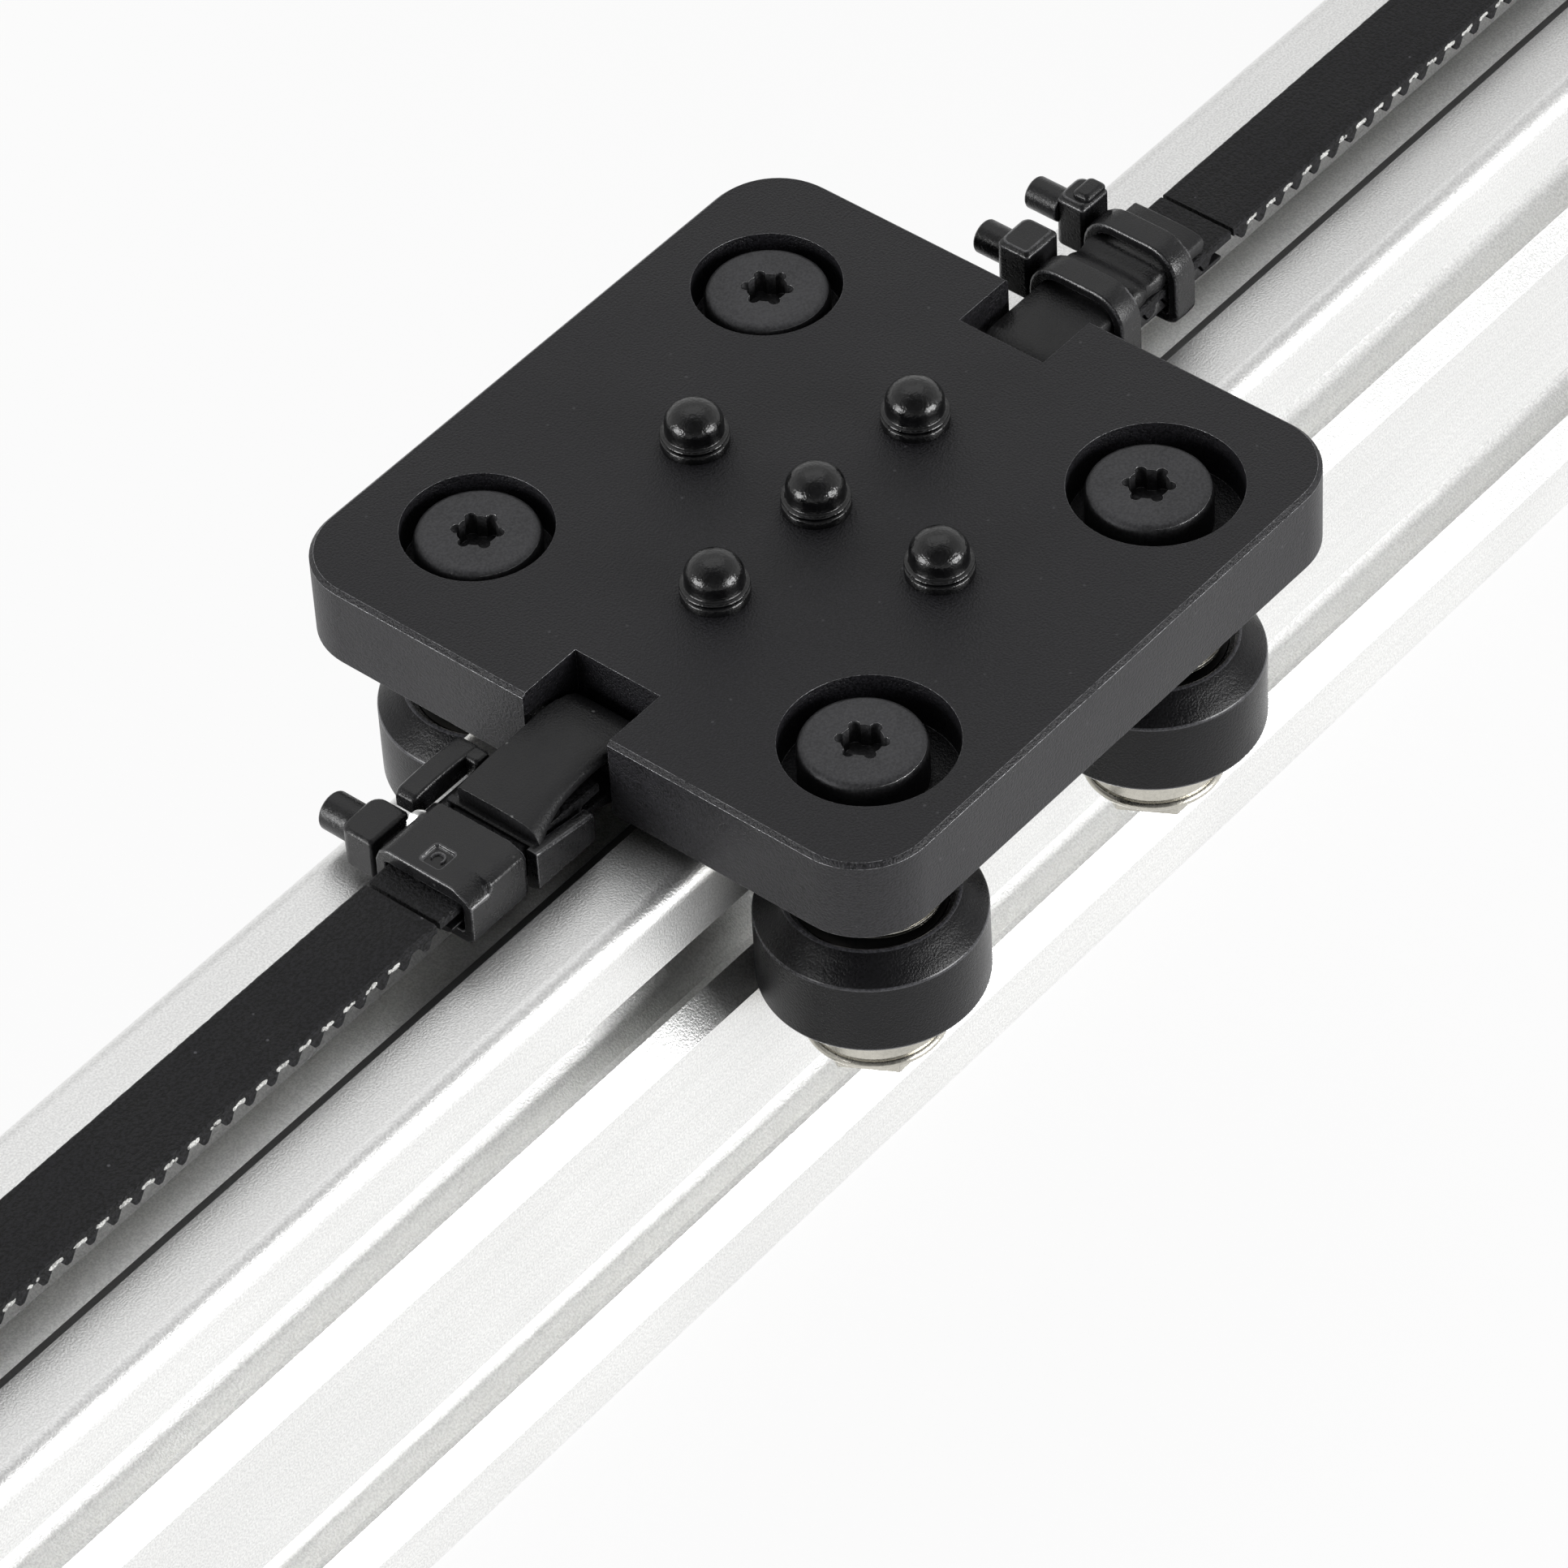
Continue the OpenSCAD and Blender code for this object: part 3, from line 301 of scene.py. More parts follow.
def scuff_group():
    """Sparse small marks and dust, brighter than the skin they lie on."""
    known = bpy.data.node_groups.get("Scuffs and dust")
    if known:
        return known
    tree, start, end = new_group(
        "Scuffs and dust",
        [("Vector", VECTOR, None), ("Scale", FLOAT, 900.0), ("Amount", FLOAT, 0.1)],
        [("Mask", FLOAT)])
    cells = add(tree, "ShaderNodeTexVoronoi", feature="F1")
    tree.links.new(start.outputs["Vector"], cells.inputs["Vector"])
    tree.links.new(start.outputs["Scale"], cells.inputs["Scale"])
    dot_core, dot_rim = 0.05, 0.13
    dots = mapped_range(tree, cells.outputs["Distance"], dot_core, dot_rim, 1.0, 0.0)
    pick = add(tree, "ShaderNodeSeparateColor")
    tree.links.new(cells.outputs["Color"], pick.inputs[0])
    bare_share, dotted_share = 0.86, 0.9
    kept = mapped_range(tree, pick.outputs[0], bare_share, dotted_share)
    tree.links.new(
        math_node(tree, "MULTIPLY", math_node(tree, "MULTIPLY", dots, kept), start.outputs["Amount"]),
        end.inputs["Mask"])
    return tree


def place_group(tree, group, vector, **values):
    made = add(tree, "ShaderNodeGroup", node_tree=group)
    tree.links.new(vector, made.inputs["Vector"])
    for label, value in values.items():
        feed(tree, made.inputs[label.replace("_", " ")], value)
    return made


def skin(name, colour, rough, metal=0.0, speckle=0.2, speckle_scale=5000.0, blotch=0.1, blotch_scale=120.0,
         swing=0.08, bump=0.02, depth=0.00002, streaks=0.0, along=(6.0, 900.0, 900.0), dust=0.0,
         dust_colour=(0.5, 0.5, 0.5), painted_shade=None, painted_shade_colour=(0.05, 0.05, 0.05), specular=0.5):
    """A finish with grain over its colour, and drawn lines, dust or painted shade where they are asked for.
    """
    known = bpy.data.materials.get(name)
    if known:
        return known
    made = bpy.data.materials.new(name)
    made.use_nodes = True
    tree = made.node_tree
    shader = tree.nodes["Principled BSDF"]
    place = add(tree, "ShaderNodeTexCoord").outputs["Object"]
    grain = place_group(
        tree, grain_group(), place, Color=(*colour, 1), Roughness=rough, Speckle_Scale=speckle_scale,
        Speckle=speckle, Blotch_Scale=blotch_scale, Blotch=blotch, Roughness_Swing=swing)
    base, roughness, height = grain.outputs["Color"], grain.outputs["Roughness"], grain.outputs["Height"]
    if streaks:
        lines = place_group(tree, streak_group(), place, Along=along, Strength=streaks)
        base = scaled_colour(tree, base, math_node(tree, "ADD", lines.outputs["Mask"], 1.0))
        roughness_share = 0.4
        uneven = math_node(tree, "MULTIPLY", lines.outputs["Mask"], roughness_share)
        roughness = math_node(tree, "ADD", roughness, uneven, True)
        height = math_node(tree, "ADD", height, lines.outputs["Height"])
    if dust:
        marks = place_group(tree, scuff_group(), place, Amount=dust)
        base = mixed_colour(tree, marks.outputs["Mask"], base, dust_colour)
    # painted shade: the colour is mixed towards a dark one inside the given mask
    if painted_shade:
        base = mixed_colour(tree, painted_shade(tree, place), base, painted_shade_colour)
    tree.links.new(base, shader.inputs["Base Color"])
    tree.links.new(roughness, shader.inputs["Roughness"])
    raised = add(tree, "ShaderNodeBump")
    raised.inputs["Strength"].default_value = bump
    raised.inputs["Distance"].default_value = depth
    tree.links.new(height, raised.inputs["Height"])
    tree.links.new(raised.outputs["Normal"], shader.inputs["Normal"])
    shader.inputs["Metallic"].default_value = metal
    shader.inputs["Specular IOR Level"].default_value = specular
    made.diffuse_color = (*colour, 1)
    return made


# ---------------------------------------------------------------- finishes


def colours():
    return bpy.context.scene.linear_axis_colours


def sizes():
    return bpy.context.scene.linear_axis_sizes


def painted_slot_shade(tree, place):
    """Painted shade: a mask over the sloping lips of the rail's top slot, which lie in the shade of the belt
    above.
    """
    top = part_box("rail")[1].z
    lip_from, lip_full = 2.6 * MM, 2.9 * MM
    mouth_from, mouth_edge = 4.50 * MM, 4.57 * MM
    lip_foot, lip_level = top - 2.2 * MM, top - 1.7 * MM
    parts = add(tree, "ShaderNodeSeparateXYZ")
    tree.links.new(place, parts.inputs[0])
    across = math_node(tree, "ABSOLUTE", parts.outputs["Y"])
    on_lip = mapped_range(tree, across, lip_from, lip_full)
    off_lip = mapped_range(tree, across, mouth_from, mouth_edge, 1.0, 0.0)
    below_top = mapped_range(tree, parts.outputs["Z"], lip_foot, lip_level)
    return math_node(tree, "MULTIPLY", math_node(tree, "MULTIPLY", on_lip, off_lip), below_top)


def rail_satin():
    # painted shade: the lips of the top slot are darkened to near black under the belt
    return skin("Rail satin", tuple(colours().rail), 0.38, metal=1.0, speckle=0.26, speckle_scale=6500.0,
                blotch=0.04, blotch_scale=60.0, swing=0.05, bump=0.4, depth=0.00002, streaks=0.015,
                painted_shade=painted_slot_shade, painted_shade_colour=(0.05, 0.05, 0.052))


def rail_edge():
    return skin("Rail edge", (0.97, 0.97, 0.965), 0.30, metal=1.0, speckle=0.06, bump=0.1)


def plate_black():
    return skin("Plate anodised", tuple(colours().plate), 0.42, speckle=1.2, speckle_scale=6000.0, blotch=0.2,
                blotch_scale=70.0, swing=0.10, bump=1.0, depth=0.00003, dust=0.3,
                dust_colour=(0.16, 0.16, 0.17), specular=0.36)


def plate_edge():
    return skin("Plate worn edge", (0.26, 0.26, 0.27), 0.34, metal=0.7, speckle=1.5, speckle_scale=7000.0,
                blotch=0.7, blotch_scale=300.0, bump=0.3)


def end_black():
    return skin("End plate anodised", tuple(colours().end_plate), 0.45, speckle=0.4, speckle_scale=4200.0,
                blotch=0.25, blotch_scale=60.0, swing=0.1, bump=0.4, dust=0.2, dust_colour=(0.14, 0.14, 0.15),
                specular=0.36)


def end_edge():
    return skin("End plate worn edge", (0.12, 0.12, 0.13), 0.36, metal=0.5, speckle=0.8, speckle_scale=6000.0,
                blotch=0.6, blotch_scale=260.0, bump=0.3)


def wheel_black():
    return skin("Wheel acetal", tuple(colours().wheel), 0.30, speckle=0.6, speckle_scale=6500.0, blotch=0.2,
                blotch_scale=180.0, swing=0.10, bump=0.6, dust=0.3, dust_colour=(0.12, 0.12, 0.12),
                specular=0.22)


def wheel_edge():
    return skin("Wheel polished edge", (0.04, 0.04, 0.045), 0.25, speckle=0.8, bump=0.2)


# Black of the bearing seals; it also covers the bearings' steel rings as painted shade for the wheels' shaded
# recess
def seal_and_shade_black():
    return skin("Bearing seal", (0.006, 0.006, 0.0065), 0.5, speckle=0.3, blotch=0.3, bump=0.2, specular=0.25)


def belt_rubber():
    return skin("Belt rubber", tuple(colours().belt), 0.60, speckle=2.0, speckle_scale=4200.0, blotch=0.35,
                blotch_scale=90.0, swing=0.14, bump=1.0, depth=0.00005, streaks=0.12,
                along=(40.0, 2600.0, 900.0), dust=0.9, dust_colour=(0.11, 0.11, 0.12), specular=0.3)


def strip_skin():
    return skin("Strip rubber", (0.010, 0.010, 0.0108), 0.40, speckle=0.6, speckle_scale=6500.0, blotch=0.4,
                blotch_scale=200.0, swing=0.2, bump=0.5, depth=0.00003, dust=0.7,
                dust_colour=(0.22, 0.22, 0.22), specular=0.4)


def cord_fibre():
    return skin("Cord fibre", (0.62, 0.62, 0.60), 0.32, speckle=0.9, speckle_scale=9000.0, blotch=0.5,
                blotch_scale=2500.0, bump=0.8, depth=0.00004)


def tie_nylon():
    return skin("Tie nylon", tuple(colours().tie), 0.30, speckle=0.4, speckle_scale=6500.0, blotch=0.4,
                blotch_scale=500.0, swing=0.16, bump=0.5, dust=0.35, dust_colour=(0.12, 0.12, 0.12),
                specular=0.45)


# Rubbed nylon edges; the same brighter finish is a painted highlight on the well's crescent
def tie_edge_and_highlight():
    return skin("Tie rubbed edge", (0.05, 0.05, 0.053), 0.26, speckle=1.2, speckle_scale=7000.0, blotch=0.8,
                blotch_scale=700.0, bump=0.4, specular=0.8)


def stud_gloss():
    return skin("Stud gloss", tuple(colours().stud), 0.16, speckle=0.5, speckle_scale=4500.0, blotch=0.5,
                blotch_scale=900.0, swing=0.12, bump=0.8, depth=0.000014, specular=0.55)


def steel_dark():
    return skin("Blackened steel", tuple(colours().dark_steel), 0.44, metal=0.75, speckle=0.45,
                speckle_scale=5600.0, blotch=0.25, blotch_scale=240.0, swing=0.12, bump=0.5)


def steel_worn():
    return skin("Worn steel edge", (0.62, 0.62, 0.62), 0.28, metal=1.0, speckle=1.0, speckle_scale=7000.0,
                blotch=0.8, blotch_scale=420.0, bump=0.3)


def nickel_plate():
    return skin("Nickel plate", tuple(colours().nickel), 0.26, metal=1.0, speckle=0.14, speckle_scale=5200.0,
                blotch=0.25, blotch_scale=260.0, swing=0.12, bump=0.2)


def steel_bright():
    return skin("Ground steel", tuple(colours().steel), 0.24, metal=1.0, speckle=0.08, speckle_scale=4200.0,
                blotch=0.1, blotch_scale=160.0, swing=0.06, bump=0.1, streaks=0.05, along=(900.0, 8.0, 900.0))


# ---------------------------------------------------------------- mesh helpers


def link(name, mesh):
    made = bpy.data.objects.new(name, mesh)
    bpy.context.scene.collection.objects.link(made)
    return made


def close_mesh(name, bm, sharp=38.0):
    """Turns bmesh work into an object, smooth except over edges sharper than the given angle."""
    bmesh.ops.remove_doubles(bm, verts=bm.verts, dist=JOIN_DISTANCE)
    bmesh.ops.recalc_face_normals(bm, faces=bm.faces)
    limit = math.radians(sharp)
    for face in bm.faces:
        face.smooth = True
    for edge in bm.edges:
        edge.smooth = len(edge.link_faces) == 2 and edge.calc_face_angle(0.0) < limit
    mesh = bpy.data.meshes.new(name)
    bm.to_mesh(mesh)
    bm.free()
    return link(name, mesh)


def rings_of(bm, loops):
    """Mesh points for closed loops given in millimetres."""
    return [[bm.verts.new(Vector(p) * MM) for p in loop] for loop in loops]


def bridge(bm, rings):
    """Faces from each ring of points to the next."""
    for first, second in zip(rings, rings[1:]):
        for i in range(len(first)):
            j = (i + 1) % len(first)
            bm.faces.new((first[i], first[j], second[j], second[i]))


def add_loft(bm, loops):
    """Skins a row of equal closed loops and closes both ends."""
    rings = rings_of(bm, loops)
    bridge(bm, rings)
    bm.faces.new(rings[0][::-1])
    bm.faces.new(rings[-1])


def add_ring(bm, outers, inners):
    """Skins a hollow length with equal outer and inner loops at each station."""
    outside, inside = rings_of(bm, outers), rings_of(bm, inners)
    bridge(bm, outside)
    bridge(bm, inside)
    for end in (0, -1):
        bridge(bm, [outside[end], inside[end]])


def lofted(name, loops, sharp):
    """An object skinned over a row of loops."""
    bm = bmesh.new()
    add_loft(bm, loops)
    return close_mesh(name, bm, sharp)


def add_lathe(bm, profile, centre, axis, steps):
    """Turns a profile of (radius, height) about an axis Z or Y through centre, in millimetres."""
    rings = []
    for radius, height in profile:
        ring = []
        for i in range(steps if radius else 1):
            a = 2 * math.pi * i / steps
            x, aside = radius * math.cos(a), radius * math.sin(a)
            point = Vector((x, aside, height) if axis == "Z" else (x, height, aside))
            ring.append(bm.verts.new((Vector(centre) + point) * MM))
        rings.append(ring)
    for first, second in zip(rings, rings[1:]):
        for i in range(steps):
            j = (i + 1) % steps
            corners = [first[i % len(first)], first[j % len(first)],
                       second[j % len(second)], second[i % len(second)]]
            bm.faces.new([v for k, v in enumerate(corners) if v not in corners[:k]])


def rounded_outline(x, y, radii, steps):
    """Rectangle over two spans; the radii start at its far upper corner and run to the left."""
    points = []
    for quarter, radius in enumerate(radii):
        at_x = x[0] + radius if quarter in (1, 2) else x[1] - radius
        at_y = y[0] + radius if quarter in (2, 3) else y[1] - radius
        for i in range(steps + 1):
            a = math.radians(90 * (quarter + i / steps))
            points.append((at_x + radius * math.cos(a), at_y + radius * math.sin(a)))
    return points


def round_edges(piece, width, angle=34.0, edge_slot=-1, weld=False):
    """Rounds sharp edges; the rounding can take its own material slot."""
    if weld:
        join = piece.modifiers.new("Weld", "WELD")
        join.merge_threshold = JOIN_DISTANCE
    bevel = piece.modifiers.new("Rounding", "BEVEL")
    bevel.width = width
    bevel.segments = 2
    bevel.limit_method = "ANGLE"
    bevel.angle_limit = math.radians(angle)
    bevel.use_clamp_overlap = True
    bevel.material = edge_slot
    bevel.miter_outer = "MITER_ARC"
    even = piece.modifiers.new("Even shading", "WEIGHTED_NORMAL")
    even.weight = 50
    even.keep_sharp = False
    return piece


def cut_away(piece, cutter):
    """Takes the cutter's shape out of a piece, then removes the cutter."""
    cut = piece.modifiers.new("Cut", "BOOLEAN")
    cut.object = cutter
    cut.solver = "EXACT"
    bpy.context.view_layer.update()
    done = bpy.data.meshes.new_from_object(piece.evaluated_get(bpy.context.evaluated_depsgraph_get()))
    piece.modifiers.clear()
    piece.data = done
    bpy.data.objects.remove(cutter)
    return piece


def on_carriage(piece, slot, *replaced):
    """Lets a piece ride on the carriage and hides the nodes that it stands for; its slot argument is not
    used.
    """
    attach(piece, "carriage")
    if replaced:
        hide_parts(*replaced)
    return piece


def paint(piece, *finishes):
    """Puts finishes in a piece's material slots."""
    slots = piece.data.materials
    slots.clear()
    for finish in finishes:
        slots.append(finish)
    return piece


def finish_node(node, main, edge=None, width=None):
    """Gives a node of the frame its finish, and rounds its edges where a width is given."""
    piece = NODES[node]
    paint(piece, main, *([edge] if edge else []))
    if width:
        round_edges(piece, width, edge_slot=1 if edge else -1, weld=True)
    return piece


# ---------------------------------------------------------------- belt

TOOTH_HALF = 0.70      # half the length of a tooth at its root
EDGE_INSET = 0.06      # the belt's edges stand this far inside the node's width
TEETH_ANGLE = 10.0     # degrees between two teeth round a pulley


def tooth_steps(tooth_height):
    """One tooth as (offset along the belt, depth below the root line), in millimetres."""
    flank, shoulder, tip_half = (0.60, 0.08 * tooth_height), (0.30, 0.80 * tooth_height), 0.14
    rising = [(TOOTH_HALF, 0.0), flank, shoulder, (tip_half, tooth_height)]
    return [(-offset, drop) for offset, drop in rising] + rising[::-1]


def belt_body():
    return BELT_THICK - sizes().tooth_height / MM


def belt_section(at, up, thick, depth, seed):
    """Closed loop across the belt: at is on the root line, up points to its back."""
    fray = sizes().belt_fray / MM
    waist, shoulder, crown = thick * 0.55, thick - 0.10, 0.955
    loop = []
    for side, lift in ((-1, -depth), (-1, waist), (-1, shoulder), (-crown, thick),
                       (crown, thick), (1, shoulder), (1, waist), (1, -depth)):
        rough = noise.noise(Vector((seed * 3.1, side * 7.0, lift * 9.0))) * fray
        y = side * (BELT_HALF - EDGE_INSET) + (rough if abs(side) == 1 else 0)
        loop.append((at[0] + up[0] * lift, y, at[1] + up[1] * lift))
    return loop


def belt_line(name, stations):
    """Builds a length of belt through stations of (place, up, depth)."""
    thick = belt_body()
    loops = [belt_section(at, up, thick, depth, k * 0.61 + at[0])
             for k, (at, up, depth) in enumerate(stations)]
    return paint(lofted(name, loops, 30.0), belt_rubber())


def straight_stations(first, last, root, up, phase, depth):
    """Stations of a straight toothed length from x first to x last."""
    pitch = sizes().tooth_pitch / MM
    step = 1 if last > first else -1
    found = [(first, 0.0)]
    k = math.ceil((min(first, last) - phase) / pitch)
    centres = []
    while phase + k * pitch < max(first, last):
        centres.append(phase + k * pitch)
        k += 1
    for centre in centres[::step]:
        if min(abs(centre - first), abs(centre - last)) >= TOOTH_HALF:
            found += [(centre + step * offset, drop) for offset, drop in tooth_steps(depth)]
    found.append((last, 0.0))
    return [((x, root), (0.0, up), drop) for x, drop in found]


TUFT_SEED = 1          # keeps the tufts the same in every run
TUFT_LUMPS = 4         # lumps of fibre in one tuft
TUFT_SPACING = 0.24    # distance between two lumps
TUFT_WANDER = 0.16     # how far a lump strays from its place
TUFT_RADIUS = 0.20
TUFT_SINK = 0.12       # lumps sit this far inside the belt's edge
TUFT_LEVEL = 0.16      # height of the cords over the root line


def fibre_tufts(name, first, last, root, phase):
    """Small pale tufts of cord fibre that stand out of the belt's cut edges between its teeth."""
    noise.seed_set(TUFT_SEED)
    pitch = sizes().tooth_pitch / MM
    bm = bmesh.new()
    count = int((last - first) / pitch)
    start = phase + pitch / 2 + pitch * math.ceil((first - phase) / pitch)
    for k in range(count - 1):
        centre = start + k * pitch
        for side in (-1, 1):
            for lump in range(TUFT_LUMPS):
                seed = Vector((centre * 1.7, side * 3.0, lump * 5.3))
                shift = noise.noise_vector(seed) * TUFT_WANDER
                radius = TUFT_RADIUS + 0.08 * noise.noise(seed * 2.3)
                at = Vector((
                    centre + (lump - (TUFT_LUMPS - 1) / 2) * TUFT_SPACING + shift.x,
                    side * (BELT_HALF - TUFT_SINK + shift.y * 0.2),
                    root + TUFT_LEVEL + shift.z))
                made = bmesh.ops.create_icosphere(bm, subdivisions=2, radius=radius * MM)
                for v in made["verts"]:
                    rough = 1 + 0.35 * noise.noise(v.co * 9000 + seed)
                    v.co = Vector((v.co.x * 1.25 * rough, v.co.y * 0.6 * rough, v.co.z * rough)) + at * MM
    piece = close_mesh(name, bm, sharp=70.0)
    return paint(piece, cord_fibre())


def wrap_stations(centre_x, centre_z, root_radius, start, end, depth):
    """Stations of the belt round a pulley, from a smaller to a larger angle in degrees."""
    stations = []
    for k in range(round((end - start) / TEETH_ANGLE) + 1):
        for offset, drop in tooth_steps(depth):
            angle = start + k * TEETH_ANGLE + math.degrees(offset / root_radius)
            if start <= angle <= end:
                a = math.radians(angle)
                up = (math.cos(a), math.sin(a))
                at = (centre_x + root_radius * up[0], centre_z + root_radius * up[1])
                stations.append((at, up, drop))
    return stations


class LINEARAXIS_OT_belt(Operator):
    """Build the toothed belt: two upper runs out to the belt's tied ends, and the rest round the pulleys"""

    bl_idname = "linear_axis.belt"
    bl_label = "Belt"

    def execute(self, context):
        depth = sizes().tooth_height / MM
        thick = belt_body()
        top_root = BELT_BACK - thick
        reach = PULLEY.x / MM
        axle_z = PULLEY.z / MM
        root_radius = top_root - axle_z
        low_root = axle_z - root_radius
        overlap = 0.3
        cut = -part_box("belt_end_near")[0].x / MM + overlap
        near = belt_line("belt_run_near", straight_stations(-reach, -cut, top_root, 1.0, -reach, depth))
        near_tufts = fibre_tufts("belt_fibres_near", -reach, -cut, top_root, -reach)
        far = belt_line("belt_run_far", straight_stations(cut, reach, top_root, 1.0, reach, depth))
        far_tufts = fibre_tufts("belt_fibres_far", cut, reach, top_root, reach)
        stations = wrap_stations(-reach, axle_z, root_radius, 90, 270, depth)
        stations += straight_stations(
            TOOTH_HALF - reach, reach - TOOTH_HALF, low_root, -1.0, reach, depth)
        stations += wrap_stations(reach, axle_z, root_radius, -90, 90, depth)
        back = belt_line("belt_return", stations)
        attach(back, "frame")
        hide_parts("drive_belt")
        for run, side in ((near, -1), (near_tufts, -1), (far, 1), (far_tufts, 1)):
            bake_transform(run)
        return {"FINISHED"}

PIN_RADIUS = 1.0       # radius of a pin that holds a loop
PIN_LEVEL = 43.1       # height of the middle of a pin's wrap
WRAP = 1.87            # radius of the strip's root line round its pin
WRAP_DEPTH = 0.7       # thickness under the root line where the teeth have merged
WRAP_ANGLES = (285, 270, 250, 230, 210, 190, 170, 150, 130, 110, 97)
LOOP_TOP = 44.97       # root line of the upper leg
LOOP_LOW = 42.59       # root line of the lower leg
LEG_OUT = 38.7         # outer end of the lower leg
LEG_BEND = 25.85       # where the lower leg starts to bend round its pin
STRIP_HALF = 2.94      # half width of a strip
TONGUE_TIP = 31.15     # outer end of the near tongue
FAR_TIP = 36.9         # outer end of the far strip's upper leg
RIPPLE_FROM, RIPPLE_TO, RIPPLE_LENGTH = 28.8, 33.2, 2.2


def loop_x():
    """Where the pin of a belt loop stands, in millimetres from the middle of the axis."""
    low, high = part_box("belt_pins")
    return (high.x - low.x) / 2 / MM - PIN_RADIUS


def low_leg(sign):
    """Loops of a strip from the outer end of its lower leg up to its pin and round it."""
    depth = sizes().tooth_height / MM
    stations = straight_stations(sign * LEG_OUT, sign * LEG_BEND, LOOP_LOW, -1.0, 0.0, depth)
    pin = loop_x()
    for angle in WRAP_ANGLES:
        a = math.radians(angle)
        up = (sign * math.cos(a), math.sin(a))
        at = (sign * pin + WRAP * up[0], PIN_LEVEL + WRAP * up[1])
        stations.append((at, up, WRAP_DEPTH))
    return [strip_loop(at, up, drop, STRIP_HALF, STRIP_HALF, 0.0, k)
            for k, (at, up, drop) in enumerate(stations)]


def near_strip():
    """A flat leg under the belt, a turn round its pin and a flared tongue out over the tray."""
    loops = low_leg(-1)
    steps = 16
    for i in range(steps + 1):
        t = i / steps
        x = -loop_x() - (TONGUE_TIP - loop_x()) * t
        rise = 0.26 * min(1, 5 * t) ** 0.7 - 0.5 * t ** 2
        narrow = 2.72 + 0.30 * abs(2 * t - 0.75) ** 1.6
        droop = 0.95 * max(0, (t - 0.62) / 0.38) ** 1.6
        left, right = min(3.05, narrow + 0.22), narrow + 0.55 * droop
        loops.append(strip_loop((x, LOOP_TOP + rise), (0.0, 1.0), 0.45, left, right, droop, i))
    return loops


def far_strip():
    """A flat leg under the belt, a turn round its pin and an upper leg that ripples between the ties."""
    loops = low_leg(1)
    x = loop_x()
    while x < FAR_TIP:
        bump = 0.0
        if RIPPLE_FROM < x < RIPPLE_TO:
            wave = 1 - math.cos(2 * math.pi * (x - RIPPLE_FROM) / RIPPLE_LENGTH)
            bump = 0.14 * wave + 0.08 * noise.noise(Vector((x, 2.0, 4.0)))
        left, right = STRIP_HALF + 0.4 * bump, STRIP_HALF + 0.5 * bump
        loops.append(strip_loop(
            (x, LOOP_TOP + bump), (0.0, 1.0), WRAP_DEPTH + bump, left, right, 0.4 * bump, x))
        x += 0.2
    return loops


def strip_loop(at, up, under, left, right, droop, seed):
    """Closed loop across a strip with a soft crown; the right edge may droop over a shoulder."""
    thick = belt_body()
    flat = 1.4
    wave = noise.noise(Vector((seed * 0.37, 1.3, 0.2))) * 0.03
    rows = (
        (left, thick * 0.35 - 0.05), (left - 0.05, thick - 0.14), (left - 0.22, thick),
        (flat, thick + 0.04), (0.0, thick + 0.05), (-flat, thick + 0.03),
        (0.95 - right, thick - 0.02 - 0.10 * droop), (0.40 - right, thick - 0.12 - 0.38 * droop),
        (0.10 - right, thick - 0.30 - 0.78 * droop), (-right - wave, thick - 0.60 - droop),
        (0.12 - right, -under - 0.55 * droop), (0.9 - right, -under - 0.15 * droop),
        (-flat, -under), (flat, -under), (left - 0.12, -under))
    return [(at[0] + up[0] * h, y, at[1] + up[1] * h) for y, h in rows]


class LINEARAXIS_OT_belt_ends(Operator):
    """Build the belt's two tied ends and the looped strips on their pins"""

    bl_idname = "linear_axis.belt_ends"
    bl_label = "Belt ends"

    def execute(self, context):
        depth = sizes().tooth_height / MM
        root = BELT_BACK - belt_body()
        for side, name in ((-1, "near"), (1, "far")):
            low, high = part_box(f"belt_end_{name}")
            inner = (high.x if side < 0 else low.x) / MM
            outer = (low.x if side < 0 else high.x) / MM
            piece = belt_line(f"belt_tied_{name}", straight_stations(outer, inner, root, 1.0, side, depth))
            on_carriage(piece, "belt_black", f"belt_end_{name}")
        for name, loops, width, node in (
                ("belt_tongue_near", near_strip(), 0.12, "belt_loop_near"),
                ("belt_loop_far_strip", far_strip(), 0.10, "belt_loop_far")):
            strip = paint(lofted(name, loops, 40.0), strip_skin())
            round_edges(strip, width * MM, angle=40.0)
            on_carriage(strip, "belt_black", node)
        finish_node("belt_pins", steel_bright())
        return {"FINISHED"}


# ---------------------------------------------------------------- clamps and ties


NYLON_SOFT = 0.10 * MM  # rounding of moulded nylon edges
NYLON_ROUND = 0.12 * MM
CHANNEL_HALF = 3.16    # half the width of the near clamp's channel
SADDLE_HALF = 3.95     # half width of the near clamp's saddle on its left side
SADDLE_TOP = 45.1
SADDLE_ROOF = 44.04    # underside of the saddle over the strip
WELL = (-36.25, 0.10)  # middle of the square well in the saddle's top
WELL_HALF = 0.80
CRESCENT = (-36.28, 0.08)
CRESCENT_RADIUS = 0.44
TRAY_OUT, TRAY_LENGTH = -31.95, 5.3
ARM_OUT, ARM_LENGTH = -33.55, 6.1


def nylon_piece(piece, width=0.0, angle=28.0, rubbed=False, replaced=()):
    """Gives a clamp or tie piece its nylon, its rounded edges and its place on the carriage."""
    paint(piece, tie_nylon(), tie_edge_and_highlight())
    if width:
        round_edges(piece, width, angle=angle, edge_slot=1 if rubbed else -1)
    return on_carriage(piece, "tie_black", *replaced)


